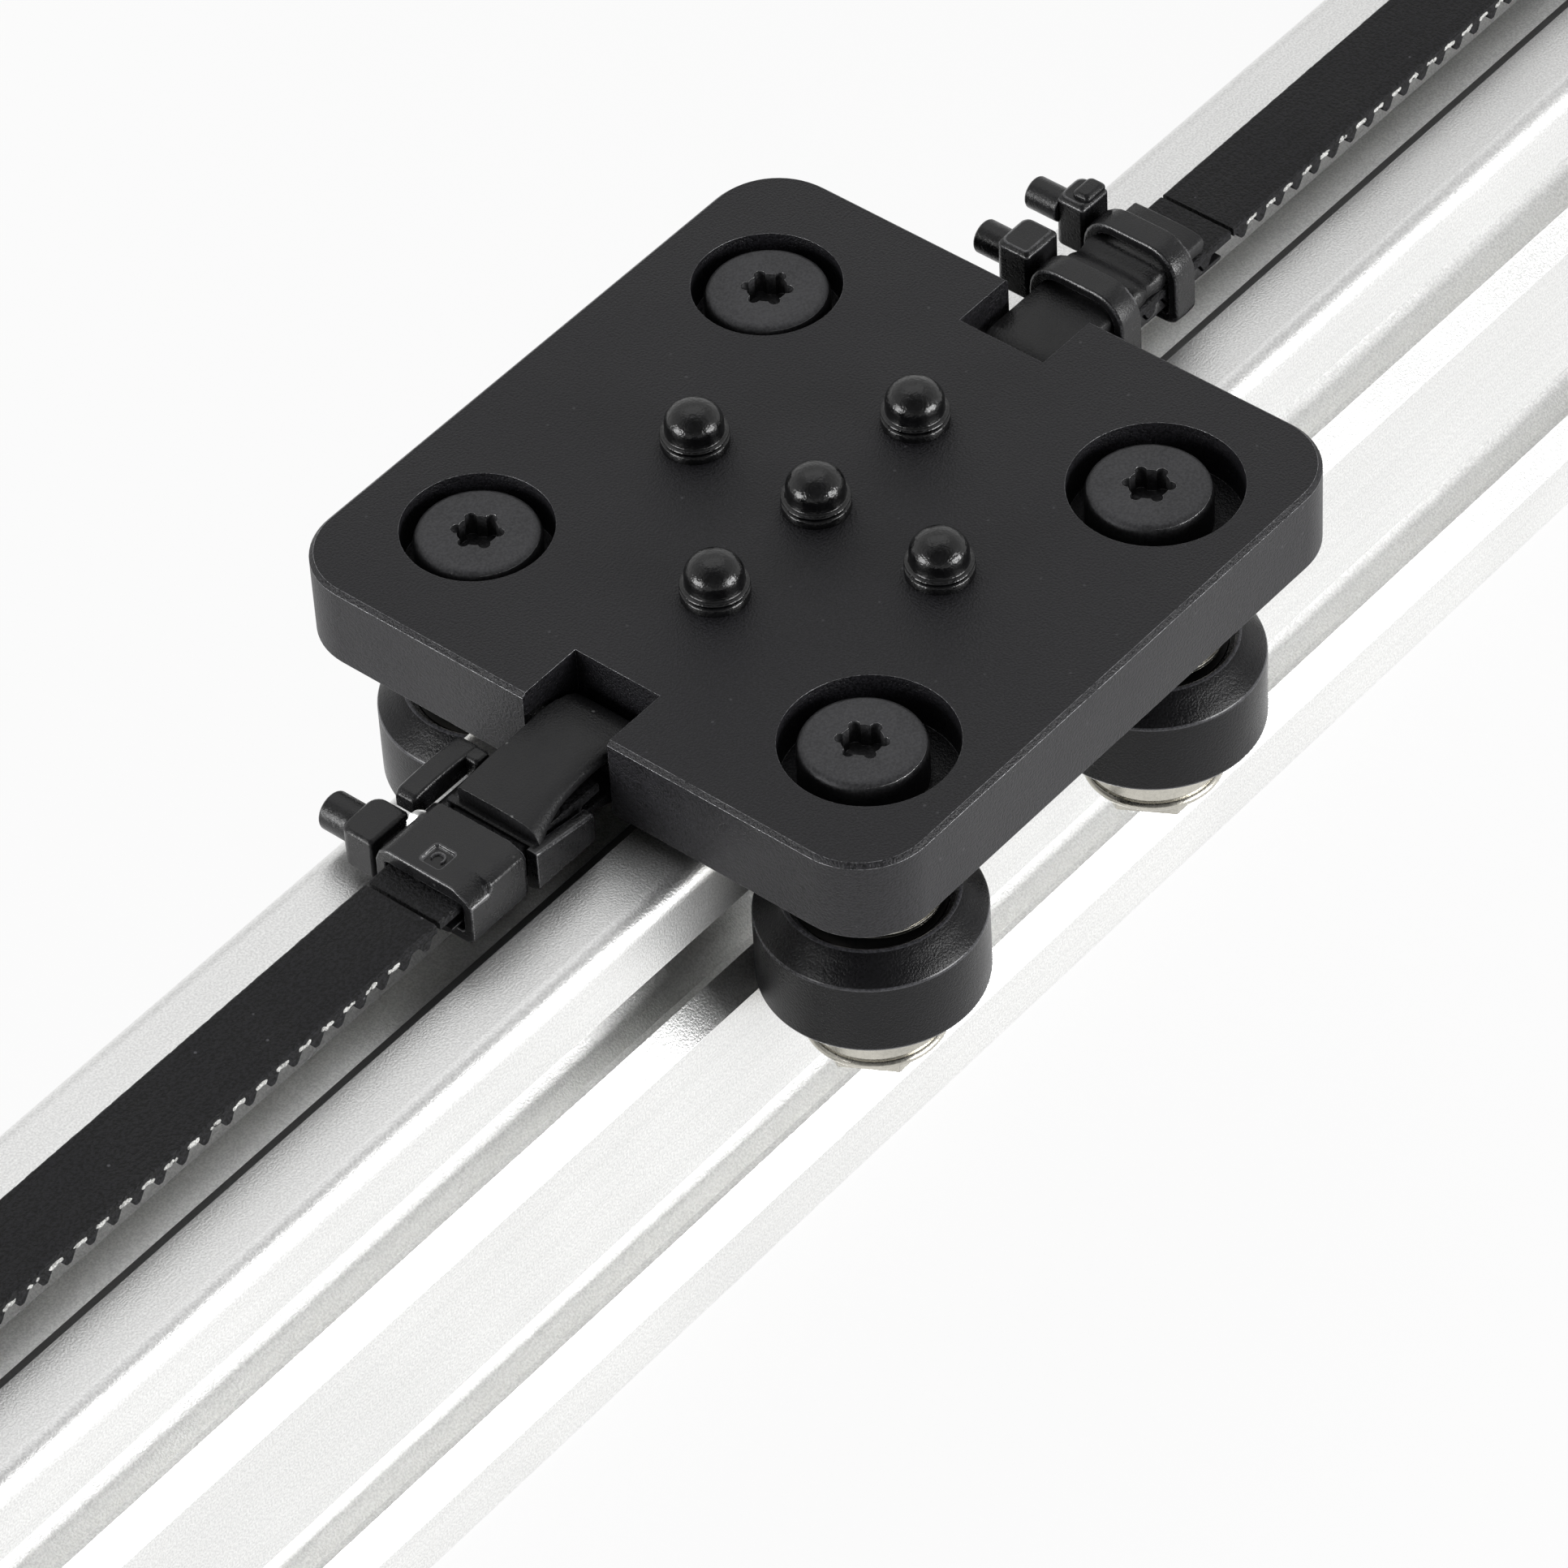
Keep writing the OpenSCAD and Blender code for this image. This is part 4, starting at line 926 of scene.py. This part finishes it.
def head_box(bm, x, y, z, soft=0.8, firm=0.25, top=0.22):
    """Rounded head of a tie: spans in x, y and z, softer on its outer side."""
    foot = 0.18
    plan = rounded_outline(x, y, (soft, soft, firm, firm), 5)
    middle_x, middle_y = (x[0] + x[1]) / 2, (y[0] + y[1]) / 2

    def ring(level, inset):
        return [(px - math.copysign(inset, px - middle_x), py - math.copysign(inset, py - middle_y), level)
                for px, py in plan]
    add_loft(bm, [ring(z[0], foot), ring(z[0] + foot, 0.0), ring(z[1] - top, 0.0), ring(z[1], top)])


def add_stub(bm, centre, radius, length):
    """Cut round end of a tie that stands out of its head."""
    profile = [(0, 0), (radius, 0), (radius, length - 0.22), (radius - 0.06, length - 0.08),
               (radius - 0.22, length), (radius * 0.5, length - 0.05), (0, length - 0.03)]
    add_lathe(bm, profile, centre, "Y", 28)


def saddle_rings(x, out, foot, block):
    """Outer and inner loops of the saddle at one station; block runs from bevel 0 to raised pad 1."""
    facet_y, facet_z = 3.42 + 0.28 * block, 44.52 + 0.30 * block
    crest_y, crest_z = 2.30 + 0.35 * block, SADDLE_TOP + 0.02 * block
    side_z = 44.10 + 0.42 * block
    outer = [(SADDLE_HALF - 0.5, foot), (SADDLE_HALF, foot + 0.45), (SADDLE_HALF, 43.9), (3.62, 44.72),
             (2.85, SADDLE_TOP), (-crest_y, crest_z), (-facet_y, facet_z), (-out, side_z),
             (-out + 0.04, foot + 0.35), (-out + 0.4, foot)]
    half = [(2.95, foot + 0.85), (CHANNEL_HALF, foot + 1.05), (CHANNEL_HALF, 43.7), (CHANNEL_HALF, 43.92),
            (2.98, SADDLE_ROOF)]
    inner = half + [(-y, z) for y, z in half[::-1]]
    return [(x, y, z) for y, z in outer], [(x, y, z) for y, z in inner]


class LINEARAXIS_OT_near_clamps(Operator):
    """Build the two clamps that hold the near end of the belt"""

    bl_idname = "linear_axis.near_clamps"
    bl_label = "Near clamps"

    def execute(self, context):
        self.saddle()
        self.crescent()
        self.head()
        self.barb()
        self.tray()
        self.lip()
        self.arm()
        return {"FINISHED"}

    def saddle(self):
        """The outer clamp: a hollow saddle over the belt with a square well in its top."""
        stations = ((-37.85, 3.90, 40.95, 0.0), (-37.2, 3.92, 40.95, 0.0), (-36.15, 3.92, 41.02, 0.0),
                    (-35.92, 3.92, 41.02, 1.0), (-34.4, 3.93, 41.06, 1.0), (-32.95, 3.90, 41.06, 1.0),
                    (-32.72, 3.80, 41.06, 0.55), (-32.55, 3.72, 41.06, 0.45))
        rings = [saddle_rings(*station) for station in stations]
        bm = bmesh.new()
        add_ring(bm, [ring[0] for ring in rings], [ring[1] for ring in rings])
        saddle = close_mesh("clamp_saddle", bm, sharp=25.0)
        span_x, span_y = ((at - WELL_HALF, at + WELL_HALF) for at in WELL)
        outline = rounded_outline(span_x, span_y, (0.22,) * 4, 4)
        cut_away(saddle, lofted("cutter", [[(x, y, z) for x, y in outline] for z in (44.86, 46.0)], 38.0))
        nylon_piece(saddle, 0.14 * MM, 50.0, True, ["clamp_near_outer"])

    def crescent(self):
        """A thin moulded crescent at the bottom of the well, in the brighter edge finish as a painted
        highlight.
        """
        loops = []
        for i in range(13):
            a = math.radians(120 - 20 * i)
            swell = 0.05 + 0.05 * math.sin(math.pi * i / 12)
            x, y = (at + CRESCENT_RADIUS * way for at, way in zip(CRESCENT, (math.cos(a), math.sin(a))))
            section = ((swell, 0.0), (swell * 0.7, 0.17), (-swell * 0.7, 0.17), (-swell, 0.0))
            loops.append([(x + math.cos(a) * u, y + math.sin(a) * u, 44.84 + v) for u, v in section])
        # the crescent takes the brighter edge finish as a painted highlight
        on_carriage(paint(lofted("clamp_crescent", loops, 60.0), tie_edge_and_highlight()), "tie_black")

    def head(self):
        """The saddle's head with its cut stub, and the bridge that joins it to the saddle."""
        bm = bmesh.new()
        head_box(bm, (-37.35, -33.75), (4.75, 7.45), (41.0, 44.2))
        add_stub(bm, (-35.35, 7.2, 42.55), 1.33, 2.75)
        head_box(bm, (-36.6, -34.4), (3.6, 5.2), (41.9, 43.4), 0.2, 0.2, 0.2)
        nylon_piece(close_mesh("clamp_head", bm, sharp=30.0), NYLON_SOFT)

    def barb(self):
        """The bright barb on the saddle's left shoulder."""
        barb = ((-34.62, 4.18, 43.8, 0.14), (-34.45, 4.12, 44.1, 0.24), (-34.22, 3.98, 44.42, 0.32),
                (-33.95, 3.78, 44.62, 0.34), (-33.70, 3.60, 44.66, 0.27), (-33.52, 3.48, 44.58, 0.12))
        loops = []
        for k, (x, y, z, r) in enumerate(barb):
            loops.append([(x + 0.55 * r * math.sin(b), y + 1.15 * r * math.cos(b) * 0.9,
                           z + 0.75 * r * math.sin(b) + 0.05 * noise.noise(Vector((k, b, 2.0))))
                          for b in (2 * math.pi * j / 12 for j in range(12))])
        on_carriage(paint(lofted("clamp_barb", loops, 60.0), steel_bright()), "bright_steel")

    def tray(self):
        """The inner clamp's tray under the tongue, with a ragged right wall."""
        loops = []
        for i in range(12):
            t = i / 11
            wall = 44.30 - 0.75 * t + 0.05 * noise.noise(Vector((i * 1.9, 0.4, 3.0)))
            loops.append([(TRAY_OUT + TRAY_LENGTH * t, y, z) for y, z in (
                (3.4, 40.95), (4.1, 41.3), (4.1, 43.6), (4.05, 43.9), (3.35, 43.9), (3.25, 43.8),
                (3.18, 41.85), (-3.18, 41.85), (-3.22, wall - 0.12), (-3.32, wall), (-3.98, wall - 0.03),
                (-4.1, wall - 0.14), (-4.1, 41.3), (-3.4, 40.95))])
        nylon_piece(lofted("clamp_tray", loops, 30.0), NYLON_SOFT, 30.0, True, ["clamp_near_inner"])

    def lip(self):
        """The ragged lip across the tray's outer end."""
        loops = []
        for i in range(15):
            y = 3.5 - 7.0 * i / 14
            lift = 0.05 * noise.noise(Vector((i * 2.1, 5.0, 1.0)))
            loops.append([(-31.62, y, 44.04), (-31.62, y, 44.26 + lift), (-31.50, y, 44.36 + lift),
                          (-31.12, y, 44.34 + lift), (-31.02, y, 44.22 + lift), (-31.02, y, 44.04)])
        nylon_piece(lofted("clamp_lip", loops, 35.0))

    def arm(self):
        """The arched arm along the left of the tray, with a block at its inner end."""
        bm = bmesh.new()
        loops = []
        for i in range(17):
            t = i / 16
            x = ARM_OUT + ARM_LENGTH * t
            blunt = 0.12 if i == 0 else 0.0
            top = 45.02 + 0.26 * math.sin(math.pi * min(1, 0.15 + t * 0.8)) - (0.25 if i == 0 else 0.0)
            low = 43.5 if i else 43.8
            y0, y1 = 4.45 + blunt, 6.15 - blunt
            loops.append([(x, y0, low), (x, y0, top - 0.16), (x, y0 + 0.16, top), (x, y1 - 0.22, top - 0.02),
                          (x, y1, top - 0.26), (x, y1, low)])
        add_loft(bm, loops)
        head_box(bm, (-28.75, -27.45), (3.45, 4.7), (43.3, 45.12), 0.2, 0.3, 0.18)
        nylon_piece(close_mesh("clamp_arm", bm, sharp=30.0), NYLON_SOFT)


STRAP_STEPS = ((0.0, 0.10), (0.18, 0.0), (1.0, -0.03), (1.87, 0.0), (2.05, 0.10))  # place, tightening
STRAP_HALF, STRAP_LOW, STRAP_TOP = 3.92, 41.05, 47.02
STRAP_INNER = ((-3.14, 3.14), (41.86, 46.26), (1.62, 1.62, 0.25, 0.25))


def tie_strap(name, start):
    """A strap round the far end of the belt, from x start."""
    outers, inners = [], []
    for step, tight in STRAP_STEPS:
        x = start + step
        half = STRAP_HALF - tight
        outer = rounded_outline(
            (-half, half), (STRAP_LOW + tight, STRAP_TOP - tight), (2.35, 2.35, 0.95, 0.95), 6)
        outers.append([(x, y, z) for y, z in outer])
        inners.append([(x, y, z) for y, z in rounded_outline(*STRAP_INNER, 6)])
    bm = bmesh.new()
    add_ring(bm, outers, inners)
    return close_mesh(name, bm, sharp=30.0)


class LINEARAXIS_OT_far_ties(Operator):
    """Build the two ties over the far end of the belt"""

    bl_idname = "linear_axis.far_ties"
    bl_label = "Far ties"

    def execute(self, context):
        for node, start, head, stub in (
                ("tie_far_inner", 26.85, ((27.0, 30.3), (4.05, 6.75), (43.1, 47.1)),
                 ((28.5, 6.5, 45.35), 1.2, 2.5)),
                ("tie_far_outer", 32.6, ((32.7, 35.5), (3.9, 6.3), (43.1, 47.25)),
                 ((33.4, 6.0, 45.95), 1.15, 2.6))):
            nylon_piece(tie_strap(f"{node}_strap", start), NYLON_ROUND, 35.0, True, [node])
            bm = bmesh.new()
            head_box(bm, *head, 0.55, 0.3, 0.3)
            add_stub(bm, *stub)
            head_box(bm, (start + 0.3, start + 1.8), (3.5, 4.6), (42.5, 44.6), 0.2, 0.2, 0.2)
            nylon_piece(close_mesh(f"{node}_head", bm, sharp=30.0), NYLON_ROUND, rubbed=True)
        bm = bmesh.new()
        head_box(bm, (33.3, 35.35), (3.95, 5.35), (47.0, 47.75), 0.35, 0.3, 0.25)
        nylon_piece(close_mesh("tie_far_outer_block", bm, sharp=30.0), NYLON_SOFT)
        return {"FINISHED"}


# ---------------------------------------------------------------- carriage


class LINEARAXIS_OT_plate(Operator):
    """Finish the carriage plate"""

    bl_idname = "linear_axis.plate"
    bl_label = "Carriage plate"

    def execute(self, context):
        finish_node("carriage_plate", plate_black(), plate_edge(), sizes().edge * 0.7)
        return {"FINISHED"}


class LINEARAXIS_OT_studs(Operator):
    """Turn the five domed studs, each with a thread crest over its foot ring"""

    bl_idname = "linear_axis.studs"
    bl_label = "Studs"

    def execute(self, context):
        low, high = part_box("domed_studs")
        centre_y = (low.y + high.y) / 2 / MM
        stem, node_ring, ring, waist = 1.8, 2.25, 2.27, 2.02
        neck = 1.66
        lift = 0.004
        pitch = (high.x - low.x) / 2 / MM - node_ring
        dome = sizes().stud_radius / MM
        tall = sizes().stud_height / MM
        foot = low.z / MM - PLATE_TOP
        profile = [
            (0, foot), (stem, foot), (stem, lift), (ring, lift), (ring, 0.52), (ring - 0.07, 0.60),
            (waist, 0.66), (waist, 0.78), (ring - 0.09, 0.84), (ring - 0.02, 0.89), (ring - 0.05, 0.95),
            (dome + 0.06, 0.98), (dome, 1.06), (dome, neck)]
        steps = 14
        for i in range(1, steps + 1):
            a = math.pi / 2 * i / steps
            profile.append((dome * math.cos(a) if i < steps else 0, neck + (tall - neck) * math.sin(a)))
        bm = bmesh.new()
        for step_x, step_y in ((0, 0), (-1, 0), (1, 0), (0, -1), (0, 1)):
            add_lathe(bm, profile, (step_x * pitch, centre_y + step_y * pitch, PLATE_TOP), "Z", 64)
        piece = paint(close_mesh("stud_set", bm, sharp=50.0), stud_gloss())
        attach(piece, "carriage")
        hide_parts("domed_studs")
        return {"FINISHED"}


SIDES = ("left", "right")
ROWS = ("back", "front")


class LINEARAXIS_OT_wheels(Operator):
    """Finish the four V wheels and their bearings"""

    bl_idname = "linear_axis.wheels"
    bl_label = "V wheels"

    def execute(self, context):
        for row in ROWS:
            for side in SIDES:
                finish_node(f"wheel_{row}_{side}", wheel_black(), wheel_edge(), sizes().edge)
                # the bearings take black seals, with their steel rings painted black as painted shade
                finish_node(f"bearings_{row}_{side}", seal_and_shade_black())
        return {"FINISHED"}


class LINEARAXIS_OT_axles(Operator):
    """Finish the wheel screws, spacers and nuts"""

    bl_idname = "linear_axis.axles"
    bl_label = "Wheel axles"

    def execute(self, context):
        width = sizes().edge * 0.7
        for side in SIDES:
            for row in ROWS:
                finish_node(f"screw_{row}_{side}", steel_dark(), steel_worn(), width * 2)
                finish_node(f"nut_{row}_{side}", nickel_plate(), width=width)
            finish_node(f"spacer_back_{side}", nickel_plate(), width=width)
            finish_node(f"eccentric_front_{side}", nickel_plate(), width=width)
        return {"FINISHED"}


# ---------------------------------------------------------------- rail and its ends


class LINEARAXIS_OT_rail(Operator):
    """Finish the slotted rail"""

    bl_idname = "linear_axis.rail"
    bl_label = "Rail"

    def execute(self, context):
        finish_node("rail", rail_satin(), rail_edge(), sizes().edge * 0.8)
        return {"FINISHED"}


class LINEARAXIS_OT_end_plates(Operator):
    """Finish the end plates, their screws, slot nuts and standoffs"""

    bl_idname = "linear_axis.end_plates"
    bl_label = "End plates"

    def execute(self, context):
        edge = sizes().edge
        for end in ("idler", "drive"):
            for row in ROWS:
                finish_node(f"end_plate_{end}_{row}", end_black(), end_edge(), edge * 1.5)
        for node in ("end_plate_screws", "standoff_screws"):
            finish_node(node, steel_dark(), steel_worn(), edge)
        finish_node("slot_nuts", nickel_plate(), width=edge)
        finish_node("standoffs", nickel_plate(), width=edge)
        return {"FINISHED"}


class LINEARAXIS_OT_pulleys(Operator):
    """Finish the pulleys with their axles, bearings, shims and clips"""

    bl_idname = "linear_axis.pulleys"
    bl_label = "Pulleys"

    def execute(self, context):
        edge = sizes().edge
        for node in ("idler_pulley", "drive_pulley"):
            finish_node(node, rail_satin(), rail_edge(), edge * 0.6)
        for node in ("idler_bearings", "drive_bearings", "drive_shaft"):
            finish_node(node, steel_bright(), width=edge * 0.5)
        for node in ("idler_shims", "drive_shims", "idler_axle_nut"):
            finish_node(node, nickel_plate(), width=edge * 0.7)
        for node in ("idler_axle_bolt", "pulley_grub_screws", "shaft_clips"):
            finish_node(node, steel_dark(), steel_worn(), edge * 0.6)
        return {"FINISHED"}


# ---------------------------------------------------------------- stage


DARK_CORNER = (-0.53, -0.47, 0.71)  # way to the darker part of the room
FLOOR_DROP = 0.0001
FLOOR_GLOW = 0.92      # how far the floor is plain white to the eye
LAMP_AIM = (-0.02, -0.015, 0.045)
SIDE_LAMP, TOP_LAMP = (0.34, 0.24), (0.7, 0.5)
EYE_PLACE = (-0.28564, -0.25240, 0.40210)
EYE_RIGHT = (0.63459, -0.77164, -0.04325)
EYE_UP = (0.56483, 0.42486, 0.70743)
EYE_BACK = (-0.52751, -0.47336, 0.70546)
SENSOR_WIDTH = 36


def show_mix(tree, factor, first, second, out):
    """Mixes two shaders and shows the mix as the output's surface."""
    mix = add(tree, "ShaderNodeMixShader")
    tree.links.new(factor, mix.inputs[0])
    tree.links.new(first.outputs[0], mix.inputs[1])
    tree.links.new(second.outputs[0], mix.inputs[2])
    tree.links.new(mix.outputs[0], out.inputs["Surface"])


def floor_finish(colour):
    """Pale floor that stays white to the eye and in reflections, and keeps a soft shadow."""
    made = bpy.data.materials.new("Pale floor")
    made.use_nodes = True
    tree = made.node_tree
    tree.nodes.clear()
    out = add(tree, "ShaderNodeOutputMaterial")
    spread = add(tree, "ShaderNodeBsdfDiffuse")
    spread.inputs["Color"].default_value = (*colour, 1)
    glow = add(tree, "ShaderNodeEmission")
    glow.inputs["Color"].default_value = (1.0, 1.0, 1.0, 1)
    rays = add(tree, "ShaderNodeLightPath")
    seen = math_node(tree, "MAXIMUM", rays.outputs["Is Camera Ray"], rays.outputs["Is Glossy Ray"])
    seen = math_node(tree, "MAXIMUM", seen, rays.outputs["Is Transmission Ray"])
    show_mix(tree, math_node(tree, "MULTIPLY", seen, FLOOR_GLOW), spread, glow, out)
    return made


def studio_sky(strength, shine):
    """Soft room: bright low down, darker overhead and in front, and white where the camera sees it."""
    world = bpy.data.worlds.new("Soft room")
    bpy.context.scene.world = world
    world.use_nodes = True
    tree = world.node_tree
    tree.nodes.clear()
    out = add(tree, "ShaderNodeOutputWorld")
    direction = add(tree, "ShaderNodeTexCoord").outputs["Generated"]
    parts = add(tree, "ShaderNodeSeparateXYZ")
    tree.links.new(direction, parts.inputs[0])
    ramp = add(tree, "ShaderNodeValToRGB")
    stops = ramp.color_ramp.elements
    stops[0].position, stops[0].color = 0.0, (1.0, 1.0, 1.0, 1)
    stops[1].position, stops[1].color = 1.0, (0.55, 0.55, 0.56, 1)
    for place, level in ((0.20, 0.95), (0.50, 0.82), (0.75, 0.72)):
        stop = stops.new(place)
        stop.color = (level, level, level, 1)
    tree.links.new(parts.outputs["Z"], ramp.inputs[0])
    front = add(tree, "ShaderNodeVectorMath", operation="DOT_PRODUCT")
    tree.links.new(direction, front.inputs[0])
    front.inputs[1].default_value = DARK_CORNER
    dark_rim, dark_core, darkest = 0.45, 0.95, 0.25
    shade = mapped_range(tree, front.outputs["Value"], dark_rim, dark_core, 1.0, darkest)
    rays = add(tree, "ShaderNodeLightPath")
    glossy = math_node(tree, "MULTIPLY", rays.outputs["Is Glossy Ray"], shine - strength)
    level = math_node(tree, "MULTIPLY", math_node(tree, "ADD", glossy, strength), shade)
    room = add(tree, "ShaderNodeBackground")
    tree.links.new(level, room.inputs["Strength"])
    tree.links.new(ramp.outputs[0], room.inputs["Color"])
    white = add(tree, "ShaderNodeBackground")
    white.inputs["Color"].default_value = (1, 1, 1, 1)
    white.inputs["Strength"].default_value = 1.0
    show_mix(tree, rays.outputs["Is Camera Ray"], room, white, out)


def soft_lamp(name, place, size, power):
    """A rectangular lamp that looks at the carriage."""
    light = bpy.data.lights.new(name, "AREA")
    light.shape = "RECTANGLE"
    light.size, light.size_y = size
    light.energy = power
    made = bpy.data.objects.new(name, light)
    bpy.context.scene.collection.objects.link(made)
    made.location = place
    made.rotation_euler = (Vector(LAMP_AIM) - Vector(place)).to_track_quat("-Z", "Y").to_euler()
    return made


class LINEARAXIS_OT_stage(Operator):
    """Lay the floor, light the room and place the camera"""

    bl_idname = "linear_axis.stage"
    bl_label = "Stage"

    def execute(self, context):
        scene = context.scene
        settings = scene.linear_axis_stage
        half = settings.floor_half
        bm = bmesh.new()
        bmesh.ops.create_grid(bm, x_segments=8, y_segments=8, size=half)
        floor = close_mesh("floor", bm)
        floor.location = (0, 0, -FLOOR_DROP)
        paint(floor, floor_finish(tuple(colours().floor)))
        studio_sky(settings.sky, settings.shine)
        soft_lamp("right_lamp", (0.133, -0.531, 0.165), SIDE_LAMP, settings.right_lamp)
        soft_lamp("left_lamp", (-0.513, 0.200, 0.165), SIDE_LAMP, settings.left_lamp)
        soft_lamp("top_lamp", (0.25, 0.25, 0.75), TOP_LAMP, settings.top_lamp)
        camera = bpy.data.cameras.new("camera")
        camera.lens = settings.lens
        camera.sensor_width = SENSOR_WIDTH
        camera.clip_start, camera.clip_end = 0.01, 10
        eye = bpy.data.objects.new("camera", camera)
        scene.collection.objects.link(eye)
        turn = Matrix((EYE_RIGHT, EYE_UP, EYE_BACK)).transposed().to_4x4()
        eye.matrix_world = Matrix.Translation(EYE_PLACE) @ turn
        scene.camera = eye
        scene.view_settings.view_transform = "Standard"
        return {"FINISHED"}


class VIEW3D_PT_linear_axis(Panel):
    """Lists the pieces and the settings of the linear axis"""

    bl_idname = "VIEW3D_PT_linear_axis"
    bl_label = "Linear axis"
    bl_space_type = "VIEW_3D"
    bl_region_type = "UI"
    bl_category = "Linear axis"

    def draw(self, context):
        for step in STEPS:
            self.layout.operator(step.bl_idname)
        for group in (context.scene.linear_axis_colours, context.scene.linear_axis_sizes,
                      context.scene.linear_axis_stage):
            box = self.layout.box()
            for key in type(group).__annotations__:
                box.prop(group, key)


STEPS = (
    LINEARAXIS_OT_rail, LINEARAXIS_OT_plate, LINEARAXIS_OT_studs, LINEARAXIS_OT_wheels, LINEARAXIS_OT_axles,
    LINEARAXIS_OT_belt, LINEARAXIS_OT_belt_ends, LINEARAXIS_OT_near_clamps, LINEARAXIS_OT_far_ties,
    LINEARAXIS_OT_end_plates, LINEARAXIS_OT_pulleys, LINEARAXIS_OT_stage,
)
SETTINGS = (LinearAxisColours, LinearAxisSizes, LinearAxisStage)


def register():
    for part in (*SETTINGS, *STEPS, VIEW3D_PT_linear_axis):
        bpy.utils.register_class(part)
    bpy.types.Scene.linear_axis_colours = PointerProperty(type=LinearAxisColours)
    bpy.types.Scene.linear_axis_sizes = PointerProperty(type=LinearAxisSizes)
    bpy.types.Scene.linear_axis_stage = PointerProperty(type=LinearAxisStage)


def unregister():
    del bpy.types.Scene.linear_axis_stage
    del bpy.types.Scene.linear_axis_sizes
    del bpy.types.Scene.linear_axis_colours
    for part in (VIEW3D_PT_linear_axis, *reversed(STEPS), *reversed(SETTINGS)):
        bpy.utils.unregister_class(part)


def main():
    register()
    for step in STEPS:
        name = step.bl_idname.split(".")[1]
        getattr(bpy.ops.linear_axis, name)()
    bpy.context.view_layer.update()


if __name__ == "__main__":
    main()
